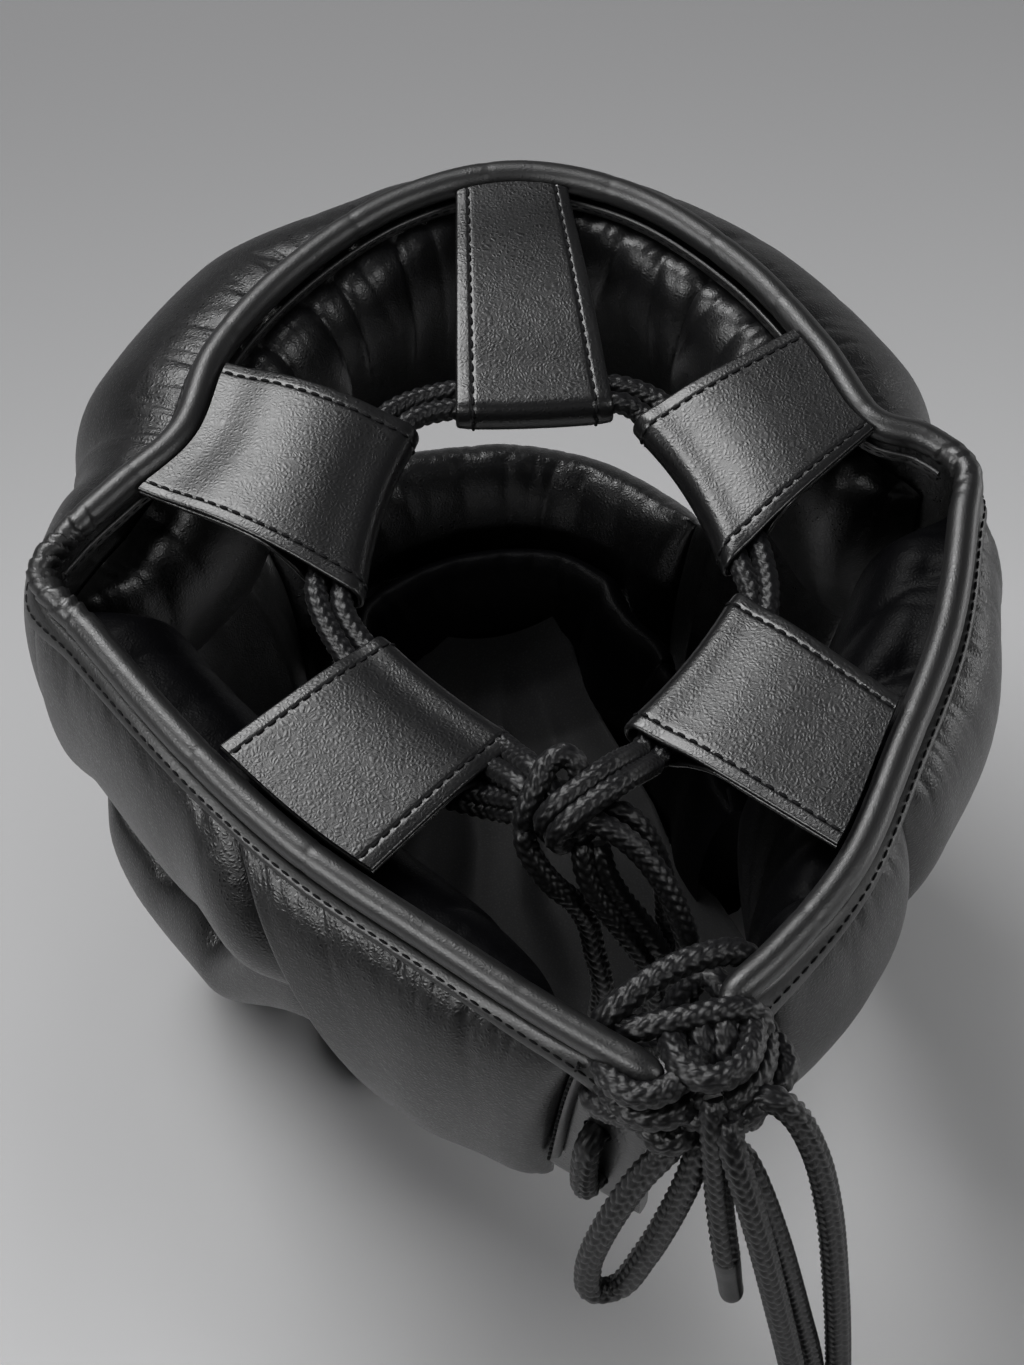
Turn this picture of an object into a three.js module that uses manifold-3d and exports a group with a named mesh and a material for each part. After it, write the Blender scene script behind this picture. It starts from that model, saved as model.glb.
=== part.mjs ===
// Face bar boxing headgear in black leather, standing on its jaw cushions, with its laces hanging.
// Millimetres. X points to the wearer's left, Y to the back of the head and Z up from the floor.
import * as THREE from "three";
import Module from "manifold-3d";
import { mergeVertices } from "three/addons/utils/BufferGeometryUtils.js";

const { lerp, smoothstep } = THREE.MathUtils;

// Heights above the floor
const rimHeight = 240; // centre of the rolled piping round the top edge
const crownHeight = 247; // centre of the doubled cord that ties the crown

// Cushions
const padTop = 4.3; // outer cushions start this far below the piping's centre
const linerTop = 15; // inner cushions start lower, behind the crown loops
const linerRaise = 2; // and end this much higher than the outer ones
const seamGap = 0.4; // half the slit between an outer cushion and the inner one behind it
const sideSteps = 8; // facets over one rounded side of a cushion
const endRun = 16; // length over which a cushion fills out from a sewn end
const endSwell = 0.35; // its fullness at that end
const settle = 6; // how far the floor presses the lowest cushions flat

// Chin pad and chin strap, inside the jaw
const chinSet = 11.4; // outer face of the pad, in from the seam line of the jaw
const chinHalf = 11; // half the pad's thickness
const chinTop = 66;
const chinLevel = 28; // height at which the pad follows the jaw
const strapSteps = 16; // facets from one side to the other
const strapThick = 2;
const strapEdge = 20; // height of the strap where it meets the pad
const strapSag = 13; // how much lower its middle hangs
const strapFolds = 5; // soft folds from front to back
const foldHeight = 2;

// Sewn edges, loops and cords
const pipingRadius = 3.7;
const pipingSteps = 66;
const leather = 1.8;
const loopStandoff = 4.7; // crown loops end this far in from the piping's centre
const loopSewn = 0.35; // share of a crown loop where its two layers lie together
const loopSlack = 1.1; // clear space round the cord in a loop's fold
const loopWedge = 4; // where the layers part, they stay together this much further inside
const cordRadius = 2.7;
const laceRadius = 3.2;
const cordPitch = 2 * cordRadius + 1.2; // the two crown strands side by side
const cordSides = 8;
const strandAcross = [-0.06, 0.2, 0.5, 0.8, 1.06]; // where a strand is held level, across each crown loop
const strandSteps = 48;
const laceSteps = 44;
const placketHalf = 2; // half the thickness of an eyelet strip
const placketCuts = 3; // facets along a strip
const eyeletRadius = 3.9;
const eyeletSides = 12;
const eyeletDrops = [16, 42, 68]; // below the piping
const laceOut = 5.6; // the lace's centre off an eyelet strip's middle, where it turns into an eyelet
const laceDeep = 13; // and where two crossings pass each other inside
const tipLength = 14; // plastic tube on a lace end
const tipClear = 0.3; // slit between the tube and the braid

// A band of cushions follows one line in plan, and its columns change smoothly from row to row.
class Band {
  constructor(rows) {
    this.rows = rows;
    const points = rows.map(({ x, y }) => new THREE.Vector3(x, y, 0));
    this.line = new THREE.CatmullRomCurve3(points, false, "centripetal");
  }

  at(row) {
    const last = this.rows.length - 1;
    const point = this.line.getPoint(row / last);
    const ahead = this.line.getTangent(row / last);
    const outward = new THREE.Vector3(-ahead.y, ahead.x, 0);
    const lower = Math.min(Math.floor(row), last - 1);
    const share = smoothstep(row - lower, 0, 1);
    const [near, next] = [this.rows[lower], this.rows[lower + 1]];
    const column = (name) => lerp(near[name], next[name], share);
    return { point, outward, column };
  }
}

// Top rim in plan: back left, left temple corner (row 6), brow, right temple corner (row 19), back right.
// outer and inner: how far the two cushions stand out. drop: their depth.
// lean: how far they splay out at the bottom.
const rim = new Band([
  { x: -18, y: 146, outer: 7, inner: 6, drop: 94, lean: -2 },
  { x: 5, y: 127, outer: 14, inner: 9, drop: 100, lean: -3 },
  { x: 30, y: 104, outer: 19, inner: 12, drop: 102, lean: -6 },
  { x: 58, y: 77, outer: 17, inner: 13, drop: 100, lean: -10 },
  { x: 82, y: 46, outer: 16, inner: 13, drop: 94, lean: -9 },
  { x: 105, y: 9, outer: 12, inner: 10, drop: 83, lean: -5 },
  { x: 116, y: -10, outer: 9, inner: 7, drop: 84, lean: 2 },
  { x: 110, y: -20, outer: 15, inner: 7, drop: 88, lean: 7 },
  { x: 95, y: -35, outer: 26, inner: 11, drop: 90, lean: 10 },
  { x: 79, y: -50, outer: 32, inner: 14, drop: 90, lean: 14 },
  { x: 68, y: -76, outer: 34, inner: 15, drop: 90, lean: 14 },
  { x: 46, y: -102, outer: 33, inner: 17, drop: 90, lean: 11 },
  { x: 14, y: -124, outer: 25, inner: 18, drop: 90, lean: 6 },
  { x: -18, y: -130, outer: 20, inner: 18, drop: 90, lean: 4 },
  { x: -49, y: -118, outer: 25, inner: 18, drop: 90, lean: 8 },
  { x: -75, y: -90, outer: 29, inner: 16, drop: 90, lean: 12 },
  { x: -91, y: -59, outer: 31, inner: 14, drop: 90, lean: 12 },
  { x: -101, y: -32, outer: 27, inner: 11, drop: 90, lean: 10 },
  { x: -113, y: -25, outer: 17, inner: 7, drop: 88, lean: 7 },
  { x: -121, y: -14, outer: 9, inner: 7, drop: 84, lean: 2 },
  { x: -117, y: 2, outer: 14, inner: 10, drop: 83, lean: -5 },
  { x: -106, y: 34, outer: 17, inner: 13, drop: 95, lean: -9 },
  { x: -88, y: 67, outer: 17, inner: 13, drop: 100, lean: -10 },
  { x: -70, y: 97, outer: 19, inner: 12, drop: 102, lean: -6 },
  { x: -50, y: 117, outer: 14, inner: 9, drop: 100, lean: -3 },
  { x: -34, y: 129, outer: 7, inner: 6, drop: 94, lean: -2 },
]);

// Jaw in plan: behind the left ear, under the ear opening, cheek, bar (rows 7 to 13), and on to the right.
// top and bottom: heights of its seams. tuck: how far the bottom seam is drawn in under the top one.
const jaw = new Band([
  { x: 61, y: 57, outer: 8, inner: 6, top: 140.4, bottom: 98, tuck: 2 },
  { x: 79, y: 31, outer: 12, inner: 8, top: 124, bottom: 80, tuck: 8 },
  { x: 98, y: 3, outer: 14, inner: 11, top: 109, bottom: 52, tuck: 14 },
  { x: 111, y: -24, outer: 14, inner: 12, top: 103, bottom: -settle, tuck: 30 },
  { x: 103, y: -41, outer: 17, inner: 12, top: 149.5, bottom: -settle, tuck: 26 },
  { x: 91, y: -57, outer: 19, inner: 12, top: 149.5, bottom: -settle, tuck: 18 },
  { x: 80, y: -83, outer: 18, inner: 12, top: 149.5, bottom: -settle, tuck: 16 },
  { x: 62, y: -105, outer: 14, inner: 13, top: 98, bottom: 20, tuck: 6 },
  { x: 45, y: -126, outer: 15, inner: 13, top: 94, bottom: 30, tuck: 0 },
  { x: 19, y: -141, outer: 15, inner: 13, top: 94, bottom: 30, tuck: 0 },
  { x: -11, y: -146, outer: 15, inner: 13, top: 94, bottom: 30, tuck: 0 },
  { x: -40, y: -141, outer: 15, inner: 13, top: 94, bottom: 30, tuck: 0 },
  { x: -61, y: -125, outer: 15, inner: 13, top: 94, bottom: 30, tuck: 0 },
  { x: -74, y: -107, outer: 14, inner: 13, top: 98, bottom: 20, tuck: 6 },
  { x: -86, y: -95, outer: 18, inner: 12, top: 149.5, bottom: -settle, tuck: 16 },
  { x: -102, y: -64, outer: 19, inner: 12, top: 149.5, bottom: -settle, tuck: 18 },
  { x: -110, y: -41, outer: 17, inner: 12, top: 149.5, bottom: -settle, tuck: 26 },
  { x: -115, y: -24, outer: 14, inner: 12, top: 103, bottom: -settle, tuck: 28 },
  { x: -107, y: 3, outer: 14, inner: 11, top: 109, bottom: 52, tuck: 14 },
  { x: -93, y: 34, outer: 12, inner: 8, top: 124, bottom: 80, tuck: 8 },
  { x: -79, y: 63, outer: 8, inner: 6, top: 139.6, bottom: 98, tuck: 2 },
]);

// Cushions as stretches of the two bands, by row
const cushions = [
  { name: "brow_shell", section: outerSection, band: rim, from: 6.04, to: 18.96, stations: 32 },
  { name: "brow_liner", section: innerSection, band: rim, from: 7.3, to: 17.7, stations: 26 },
  { name: "ear_pad_left", section: outerSection, band: rim, from: 3.462, to: 5.96, stations: 11 },
  { name: "rear_pad_left", section: outerSection, band: rim, from: 1, to: 3.44, stations: 11 },
  { name: "side_liner_left", section: innerSection, band: rim, from: 1.05, to: 5.2, stations: 14 },
  { name: "ear_pad_right", section: outerSection, band: rim, from: 19.04, to: 22.3, stations: 12 },
  { name: "rear_pad_right", section: outerSection, band: rim, from: 22.32, to: 24.15, stations: 9 },
  { name: "side_liner_right", section: innerSection, band: rim, from: 20.6, to: 24.1, stations: 13 },
  { name: "jaw_pad_left", section: wholeSection, band: jaw, from: 0, to: 6.99, stations: 21 },
  { name: "face_bar", section: wholeSection, band: jaw, from: 7.01, to: 12.99, stations: 17 },
  { name: "jaw_pad_right", section: wholeSection, band: jaw, from: 13.01, to: 20, stations: 21 },
  { name: "chin_pad", section: chinSection, band: jaw, from: 2.7, to: 17.3, stations: 24 },
];

// Chin strap from back to front, between the two arms of the chin pad
const strapSections = [
  { y: -14, left: 57.4, right: -60.6 },
  { y: -25, left: 54.2, right: -59.2 },
  { y: -36, left: 48.8, right: -58.2 },
  { y: -52, left: 42.2, right: -55.2 },
  { y: -68, left: 38.2, right: -49.2 },
  { y: -84, left: 29.2, right: -42.6 },
  { y: -100, left: 22.6, right: -36.4 },
];

// Crown loops in the order that the cord runs through them. rimFrom and rimTo are rows of the rim.
const crownLoops = [
  { name: "crown_loop_left_rear", rimFrom: 2.47, rimTo: 3.87, foldFrom: [3, 61], foldTo: [34, 25] },
  { name: "crown_loop_left_front", rimFrom: 8.27, rimTo: 9.95, foldFrom: [36, 16], foldTo: [17, -36] },
  { name: "crown_loop_front", rimFrom: 12.45, rimTo: 13.5, foldFrom: [8, -40], foldTo: [-33, -37] },
  { name: "crown_loop_right_front", rimFrom: 15.78, rimTo: 17.05, foldFrom: [-37, -31], foldTo: [-53, 17] },
  { name: "crown_loop_right_rear", rimFrom: 21.5, rimTo: 22.87, foldFrom: [-54, 25], foldTo: [-20, 59] },
];

// The two strands of the crown cord side by side, with the ends that meet the crown knot
const crownStrands = [
  { name: "crown_cord_inner", setBack: 0, ends: [[4.5, 70, 247], [-20.5, 69, 247]] },
  { name: "crown_cord_outer", setBack: cordPitch, ends: [[5.5, 77, 247], [-21.5, 76, 247]] },
];

// Eyelet strips at the laced back, with the rim row of their eyelets
const plackets = {
  left: { name: "placket_left", from: 0.06, to: 0.98, eyelets: 0.5 },
  right: { name: "placket_right", from: 24.17, to: 24.96, eyelets: 24.55 },
};

// Knots as plain lumps, and the cords that hang from them
const knots = {
  crown_knot: { centre: [-8, 74, 246], half: [11, 8, 8] },
  rear_knot: { centre: [-33, 154, 224], half: [13, 8, 12] },
};
const tails = {
  crown_tail_right: [
    [-14.2, 79, 241.1], [-16.8, 82.9, 237.4], [-24, 90, 227], [-33, 97, 207], [-36, 100, 180],
    [-34, 100, 156],
  ],
  crown_tail_middle: [
    [-8, 79.8, 240], [-8, 84, 235.8], [-11, 89, 222], [-19, 95, 200], [-24, 99, 175], [-22, 100, 150],
  ],
  crown_tail_left: [
    [-1.2, 78.6, 241.1], [1.2, 81.6, 238], [4, 83, 230], [1, 85, 218], [-7, 88, 206], [-12, 92, 185],
    [-11, 94, 162],
  ],
};
const laceRuns = {
  lace_loop_left: [
    [-23, 154.4, 215.8], [-20, 154.8, 212.6], [-14, 156, 202], [-4, 158, 181], [2, 158, 161], [2, 158, 147],
    [-4, 158, 140], [-12, 158, 152], [-20, 158, 178], [-27, 157.5, 199], [-29.5, 156.5, 211],
  ],
  lace_loop_right: [
    [-46.8, 154, 226], [-53, 154, 224.5], [-59, 156, 203], [-64, 160, 168], [-69, 165, 110], [-70, 166, 76],
    [-67, 167, 62], [-60, 167, 62], [-57, 167, 76], [-55, 165, 118], [-46, 160, 172], [-39, 155, 203],
    [-37.6, 154.4, 211],
  ],
  lace_end_left: [
    [-33, 162.6, 223], [-33, 167, 222], [-33, 170, 213], [-33.5, 168, 190], [-36.5, 164, 163],
  ],
  lace_end_right: [
    [-40.3, 161, 223], [-42.2, 165.6, 222.5], [-45.5, 170.5, 216.5], [-48.5, 172, 205], [-53, 172.5, 178],
    [-62, 176, 116], [-65, 177, 90],
  ],
};

const leatherMaterial = new THREE.MeshStandardMaterial({ color: 0x1b1b1c, roughness: 0.45, metalness: 0 });
const cordMaterial = new THREE.MeshStandardMaterial({ color: 0x151515, roughness: 0.8, metalness: 0 });
const tipMaterial = new THREE.MeshStandardMaterial({ color: 0x101011, roughness: 0.35, metalness: 0 });
const headgear = new THREE.Group();
const freeCord = /^(crown_tail|lace_loop|lace_end|lace_tip)_/; // names of what hangs free

function add(name, geometry, material) {
  const mesh = new THREE.Mesh(geometry, material);
  mesh.name = name;
  headgear.add(mesh);
}

// Keeps only merged positions, and turns the faces outwards if the shape came out mirrored.
function closedBody(geometry) {
  const bare = geometry.clone();
  bare.deleteAttribute("normal");
  bare.deleteAttribute("uv");
  const body = mergeVertices(bare, 1e-4);
  const corner = (index) => new THREE.Vector3().fromBufferAttribute(body.attributes.position, index);
  const order = Array.from(body.index.array);
  let volume = 0;
  for (let i = 0; i < order.length; i += 3) {
    const [a, b, c] = [corner(order[i]), corner(order[i + 1]), corner(order[i + 2])];
    volume += a.dot(b.cross(c)) / 6;
  }
  if (volume < 0) {
    body.setIndex(order.reverse());
  }
  body.computeVertexNormals();
  return body;
}

// Joins closed sections of equal length into one body. Section points pair up from both ends at the caps.
function loft(sections) {
  const size = sections[0].length;
  const triangles = [];
  for (let s = 0; s < sections.length - 1; s++) {
    for (let i = 0; i < size; i++) {
      const near = s * size + i;
      const beside = s * size + ((i + 1) % size);
      triangles.push(near, beside, beside + size, near, beside + size, near + size);
    }
  }
  const capAt = (start, flip) => {
    for (let i = 0, j = size - 1; i < j; i++, j--) {
      const [low, lowNext, highNext, high] = [start + i, start + i + 1, start + j - 1, start + j];
      const cap = [low, high, highNext, low, highNext, lowNext].slice(0, 3 * Math.min(j - i - 1, 2));
      triangles.push(...(flip ? cap.reverse() : cap));
    }
  };
  capAt(0, false);
  capAt((sections.length - 1) * size, true);
  const geometry = new THREE.BufferGeometry().setFromPoints(sections.flat());
  geometry.setIndex(triangles);
  return closedBody(geometry);
}

// One rounded side of a cushion, from its bottom seam up to its top seam
function roundedSide(bulge, bottom, top) {
  return Array.from({ length: sideSteps + 1 }, (_, step) => {
    const turn = Math.PI * (step / sideSteps - 0.5);
    return { out: bulge * Math.cos(turn), z: (bottom + top + Math.sin(turn) * (top - bottom)) / 2 };
  });
}

function rimSide({ column }, bulge, topDrop, bottomDrop) {
  const points = roundedSide(bulge, rimHeight - bottomDrop, rimHeight - topDrop);
  const splay = (z) => (column("lean") * (rimHeight - z)) / column("drop");
  return { points, splay };
}

function outerSection(station, swell) {
  const bulge = station.column("outer") * swell;
  const { points, splay } = rimSide(station, bulge, padTop, station.column("drop"));
  return points.map(({ out, z }) => ({ out: seamGap + splay(z) + out, z }));
}

function innerSection(station, swell) {
  const bulge = station.column("inner") * swell;
  const { points, splay } = rimSide(station, bulge, linerTop, station.column("drop") - linerRaise);
  return points.map(({ out, z }) => ({ out: -seamGap + splay(z) - out, z }));
}

function bothSides(outer, inner, bottom, top, middleAt) {
  const front = roundedSide(outer, bottom, top).map(({ out, z }) => ({ out: middleAt(z) + out, z }));
  const back = roundedSide(inner, bottom, top).map(({ out, z }) => ({ out: middleAt(z) - out, z }));
  return [...front, ...back.slice(1, -1).reverse()];
}

function jawTuck({ column }, z) {
  return (-column("tuck") * (column("top") - z)) / (column("top") - column("bottom"));
}

function wholeSection(station, swell) {
  const { column } = station;
  const [outer, inner] = [column("outer") * swell, column("inner") * swell];
  return bothSides(outer, inner, column("bottom"), column("top"), (z) => jawTuck(station, z));
}

function chinSection(station, swell) {
  const middle = jawTuck(station, chinLevel) - chinSet - chinHalf;
  return bothSides(chinHalf * swell, chinHalf * swell, -settle, chinTop, () => middle);
}

function place({ point, outward }, { out, z }) {
  return point.clone().addScaledVector(outward, out).setZ(Math.max(z, 0));
}

function cushion({ section, band, from, to, stations }) {
  const rowAt = (i) => lerp(from, to, i / (stations - 1));
  const line = Array.from({ length: stations }, (_, i) => band.at(rowAt(i)));
  const lengths = [0];
  for (let i = 1; i < stations; i++) {
    lengths.push(lengths[i - 1] + line[i].point.distanceTo(line[i - 1].point));
  }
  const swellAt = (i) => {
    const reach = Math.min(lengths[i], lengths[stations - 1] - lengths[i], endRun) / endRun;
    return endSwell + (1 - endSwell) * Math.sqrt(1 - (1 - reach) ** 2);
  };
  return loft(line.map((station, i) => section(station, swellAt(i)).map((spot) => place(station, spot))));
}

// Soft strap under the chin, hung between the two arms of the chin pad
function chinStrap() {
  const across = Array.from({ length: strapSteps + 1 }, (_, i) => i / strapSteps);
  const sections = strapSections.map(({ y, left, right }) => {
    const middle = across.map((share) => {
      const hang = 1 - (2 * share - 1) ** 2;
      const fold = foldHeight * hang * Math.cos(2 * Math.PI * strapFolds * share);
      return new THREE.Vector3(lerp(left, right, share), y, strapEdge - strapSag * hang + fold);
    });
    const above = middle.map((spot) => spot.clone().setZ(spot.z + strapThick / 2));
    const below = middle.map((spot) => spot.clone().setZ(spot.z - strapThick / 2));
    return [...above, ...below.reverse()];
  });
  return loft(sections);
}

function roundShape(radius) {
  const corners = Array.from({ length: cordSides }, (_, i) => {
    const turn = (2 * Math.PI * i) / cordSides;
    return new THREE.Vector2(radius * Math.cos(turn), radius * Math.sin(turn));
  });
  return new THREE.Shape(corners);
}

function tube(points, radius, steps) {
  const extrudePath = new THREE.CatmullRomCurve3(points, false, "centripetal");
  return closedBody(new THREE.ExtrudeGeometry(roundShape(radius), { steps, extrudePath }));
}

function vectors(rows) {
  return rows.map((row) => new THREE.Vector3(...row));
}

// A hanging cord has about one step for each two and a half of its diameters.
function hangingCord(route, radius) {
  const points = vectors(route);
  const length = new THREE.CatmullRomCurve3(points, false, "centripetal").getLength();
  return tube(points, radius, Math.ceil(length / (5 * radius)));
}

function rimPiping() {
  const points = rim.rows.map(({ x, y }) => new THREE.Vector3(x, y, rimHeight));
  return tube(points, pipingRadius, pipingSteps);
}

// A place on a crown loop: along runs from the rim to the fold, across from one long edge to the other.
function loopPoint({ rimFrom, rimTo, foldFrom, foldTo }, along, across, z) {
  const rimEdge = place(rim.at(lerp(rimFrom, rimTo, across)), { out: -loopStandoff, z: rimHeight });
  const foldStart = new THREE.Vector3(...foldFrom, crownHeight);
  const foldEnd = new THREE.Vector3(...foldTo, crownHeight);
  const spot = rimEdge.lerp(foldStart.lerp(foldEnd, across), along);
  return spot.setZ(spot.z + z);
}

function loopLength(loop) {
  return loopPoint(loop, 0, 0.5, 0).distanceTo(loopPoint(loop, 1, 0.5, 0));
}

const holeRadius = cordRadius + loopSlack;
const foldRadius = holeRadius + leather;

// Two layers sewn together at the rim, folded round the doubled cord at the other end
function crownLoop(loop) {
  const length = loopLength(loop);
  const sewn = loopSewn * length;
  const innerCord = length - foldRadius;
  const outerCord = innerCord - cordPitch;
  const profile = new THREE.Shape();
  profile.moveTo(0, -leather);
  profile.lineTo(sewn, -leather);
  profile.lineTo(outerCord, -foldRadius);
  profile.lineTo(innerCord, -foldRadius);
  profile.absarc(innerCord, 0, foldRadius, -Math.PI / 2, Math.PI / 2, false);
  profile.lineTo(outerCord, foldRadius);
  profile.lineTo(sewn, leather);
  profile.lineTo(0, leather);
  profile.closePath();
  const hollow = new THREE.Path();
  hollow.moveTo(sewn + loopWedge, 0);
  hollow.lineTo(outerCord, -holeRadius);
  hollow.lineTo(innerCord, -holeRadius);
  hollow.absarc(innerCord, 0, holeRadius, -Math.PI / 2, Math.PI / 2, false);
  hollow.lineTo(outerCord, holeRadius);
  hollow.closePath();
  profile.holes.push(hollow);
  const settings = { depth: 1, steps: 3, curveSegments: 4, bevelEnabled: false };
  const flat = new THREE.ExtrudeGeometry(profile, settings);
  const spots = flat.attributes.position;
  for (let i = 0; i < spots.count; i++) {
    const spot = loopPoint(loop, spots.getX(i) / length, spots.getZ(i), spots.getY(i));
    spots.setXYZ(i, spot.x, spot.y, spot.z);
  }
  return closedBody(flat);
}

// One strand of the crown cord, set back from the loops' folds, with both ends at the crown knot
function crownStrand(setBack, start, end) {
  const inLoops = crownLoops.flatMap((loop) => {
    const along = 1 - (foldRadius + setBack) / loopLength(loop);
    return strandAcross.map((across) => loopPoint(loop, along, across, 0));
  });
  return tube([start, ...inLoops, end], cordRadius, strandSteps);
}

function placketSpot(side, drop, out) {
  return place(rim.at(plackets[side].eyelets), { out, z: rimHeight - drop });
}

const wasm = await Module();
wasm.setup();

function toSolid(geometry) {
  const body = closedBody(geometry);
  const vertProperties = new Float32Array(body.attributes.position.array);
  const triVerts = new Uint32Array(body.index.array);
  return new wasm.Manifold(new wasm.Mesh({ numProp: 3, vertProperties, triVerts }));
}

function fromSolid(solid) {
  const { vertProperties, triVerts } = solid.getMesh();
  const geometry = new THREE.BufferGeometry();
  geometry.setAttribute("position", new THREE.BufferAttribute(vertProperties, 3));
  geometry.setIndex(new THREE.BufferAttribute(triVerts, 1));
  return closedBody(geometry);
}

// Flat strip along the back edge of a flap, with a column of eyelet holes
function placket(side) {
  const { from, to, eyelets } = plackets[side];
  const sections = Array.from({ length: placketCuts + 1 }, (_, i) => {
    const station = rim.at(lerp(from, to, i / placketCuts));
    const top = rimHeight - padTop;
    const bottom = rimHeight - station.column("drop");
    const face = (out, ...heights) => heights.map((z) => place(station, { out, z }));
    return [...face(placketHalf, bottom, top), ...face(-placketHalf, top, bottom)];
  });
  const { outward } = rim.at(eyelets);
  const facing = new THREE.Quaternion().setFromUnitVectors(new THREE.Vector3(0, 1, 0), outward);
  let strip = toSolid(loft(sections));
  for (const drop of eyeletDrops) {
    const hole = new THREE.CylinderGeometry(eyeletRadius, eyeletRadius, 6 * placketHalf, eyeletSides);
    hole.applyQuaternion(facing);
    hole.translate(...placketSpot(side, drop, 0));
    strip = strip.subtract(toSolid(hole));
  }
  return fromSolid(strip);
}

// The lace from the knot through every eyelet and back, crossing behind the opening
function rearLace() {
  const [first, second, third] = eyeletDrops;
  const through = (side, drop, outs) => outs.map((out) => placketSpot(side, drop, out));
  const outIn = [laceOut, 0, -laceOut];
  const inOut = [-laceOut, 0, laceOut];
  return tube([
    ...vectors([[-19.5, 155, 225], [-13, 154.5, 225]]),
    ...through("left", first, outIn),
    ...through("right", second, inOut),
    ...through("right", third, outIn),
    ...through("left", third, inOut),
    ...through("left", second, [...outIn, -laceDeep]),
    ...through("right", first, [-laceDeep, ...inOut]),
    ...vectors([[-48, 140, 226], [-43.5, 146.5, 228]]),
  ], laceRadius, laceSteps);
}

function knotLump({ centre, half }) {
  const [columns, rings] = [14, 9];
  return new THREE.SphereGeometry(1, columns, rings).scale(...half).translate(...centre);
}

// Tube tip beyond the last point of a lace end, in line with it
function laceTip(route) {
  const [before, last] = vectors(route).slice(-2);
  const ahead = last.clone().sub(before).normalize();
  const start = last.clone().addScaledVector(ahead, tipClear);
  return tube([start, start.clone().addScaledVector(ahead, tipLength)], laceRadius, 1);
}

for (const row of cushions) {
  add(row.name, cushion(row), leatherMaterial);
}
add("chin_strap", chinStrap(), leatherMaterial);
add("rim_piping", rimPiping(), leatherMaterial);
for (const loop of crownLoops) {
  add(loop.name, crownLoop(loop), leatherMaterial);
}
add(plackets.left.name, placket("left"), leatherMaterial);
add(plackets.right.name, placket("right"), leatherMaterial);
for (const { name, setBack, ends } of crownStrands) {
  add(name, crownStrand(setBack, ...vectors(ends)), cordMaterial);
}
add("rear_lace", rearLace(), cordMaterial);
for (const [name, knot] of Object.entries(knots)) {
  add(name, closedBody(knotLump(knot)), cordMaterial);
}
for (const [name, route] of Object.entries(tails)) {
  add(name, hangingCord(route, cordRadius), cordMaterial);
}
for (const [name, route] of Object.entries(laceRuns)) {
  add(name, hangingCord(route, laceRadius), cordMaterial);
}
add("lace_tip_left", laceTip(laceRuns.lace_end_left), tipMaterial);
add("lace_tip_right", laceTip(laceRuns.lace_end_right), tipMaterial);

// The origin is on the floor, under the middle of everything but the free cords.
const box = new THREE.Box3();
for (const piece of headgear.children.filter(({ name }) => !freeCord.test(name))) {
  box.expandByObject(piece);
}
const middle = box.getCenter(new THREE.Vector3());
headgear.position.set(-middle.x, -middle.y, -box.min.z);

export default headgear;
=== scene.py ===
import math

import bpy
import numpy as np
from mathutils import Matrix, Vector


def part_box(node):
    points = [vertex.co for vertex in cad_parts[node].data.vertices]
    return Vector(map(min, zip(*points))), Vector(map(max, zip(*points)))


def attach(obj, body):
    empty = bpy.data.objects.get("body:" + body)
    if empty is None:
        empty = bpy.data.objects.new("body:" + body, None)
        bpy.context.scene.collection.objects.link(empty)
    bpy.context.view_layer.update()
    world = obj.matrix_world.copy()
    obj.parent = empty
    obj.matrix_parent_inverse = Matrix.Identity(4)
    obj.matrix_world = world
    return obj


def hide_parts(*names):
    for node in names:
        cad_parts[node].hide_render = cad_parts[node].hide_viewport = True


# Face bar boxing headgear: leather cushions, rolled piping, corded crown loops and a laced back.
# Tables are in millimetres, X to the wearer's left, Y to the back, Z up; toRow() puts them in the row frame.

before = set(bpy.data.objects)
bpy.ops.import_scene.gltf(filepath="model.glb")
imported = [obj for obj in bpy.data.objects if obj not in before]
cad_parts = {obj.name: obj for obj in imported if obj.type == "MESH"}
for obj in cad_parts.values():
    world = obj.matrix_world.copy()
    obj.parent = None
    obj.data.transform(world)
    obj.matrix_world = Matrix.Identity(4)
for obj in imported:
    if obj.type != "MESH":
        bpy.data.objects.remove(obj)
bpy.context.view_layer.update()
mm = 0.001
crownKnotAt = np.array([-8.0, 74.0, 246.0])  # the crown knot, which ties the tables to the frame
knotLow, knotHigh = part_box("crown_knot")
shift = (np.array(knotLow) + np.array(knotHigh)) / 2 / mm - crownKnotAt
print("frame loaded, tables moved by", np.round(shift, 2))


def toRow(places):
    return (np.asarray(places, float) + shift) * mm


# Materials


def linear(hexCode):
    values = [int(hexCode[i:i + 2], 16) / 255 for i in (1, 3, 5)]
    return [v / 12.92 if v <= 0.04045 else ((v + 0.055) / 1.055) ** 2.4 for v in values] + [1.0]


def feed(tree, node, inputs):  # a socket is linked, any other value is set
    for key, value in inputs.items():
        if isinstance(value, bpy.types.NodeSocket):
            tree.links.new(value, node.inputs[key])
        else:
            node.inputs[key].default_value = value


def addNode(tree, kind, inputs=None, **settings):
    node = tree.nodes.new(kind)
    for key, value in settings.items():
        if hasattr(node, key):
            setattr(node, key, value)
        else:
            node.inputs[key.replace("_", " ")].default_value = value
    feed(tree, node, inputs or {})
    return node


def newMaterial(name):
    material = bpy.data.materials.new(name)
    material.use_nodes = True
    tree = material.node_tree
    spot = addNode(tree, "ShaderNodeTexCoord").outputs["Object"]
    return material, tree, tree.nodes["Principled BSDF"], spot


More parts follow.
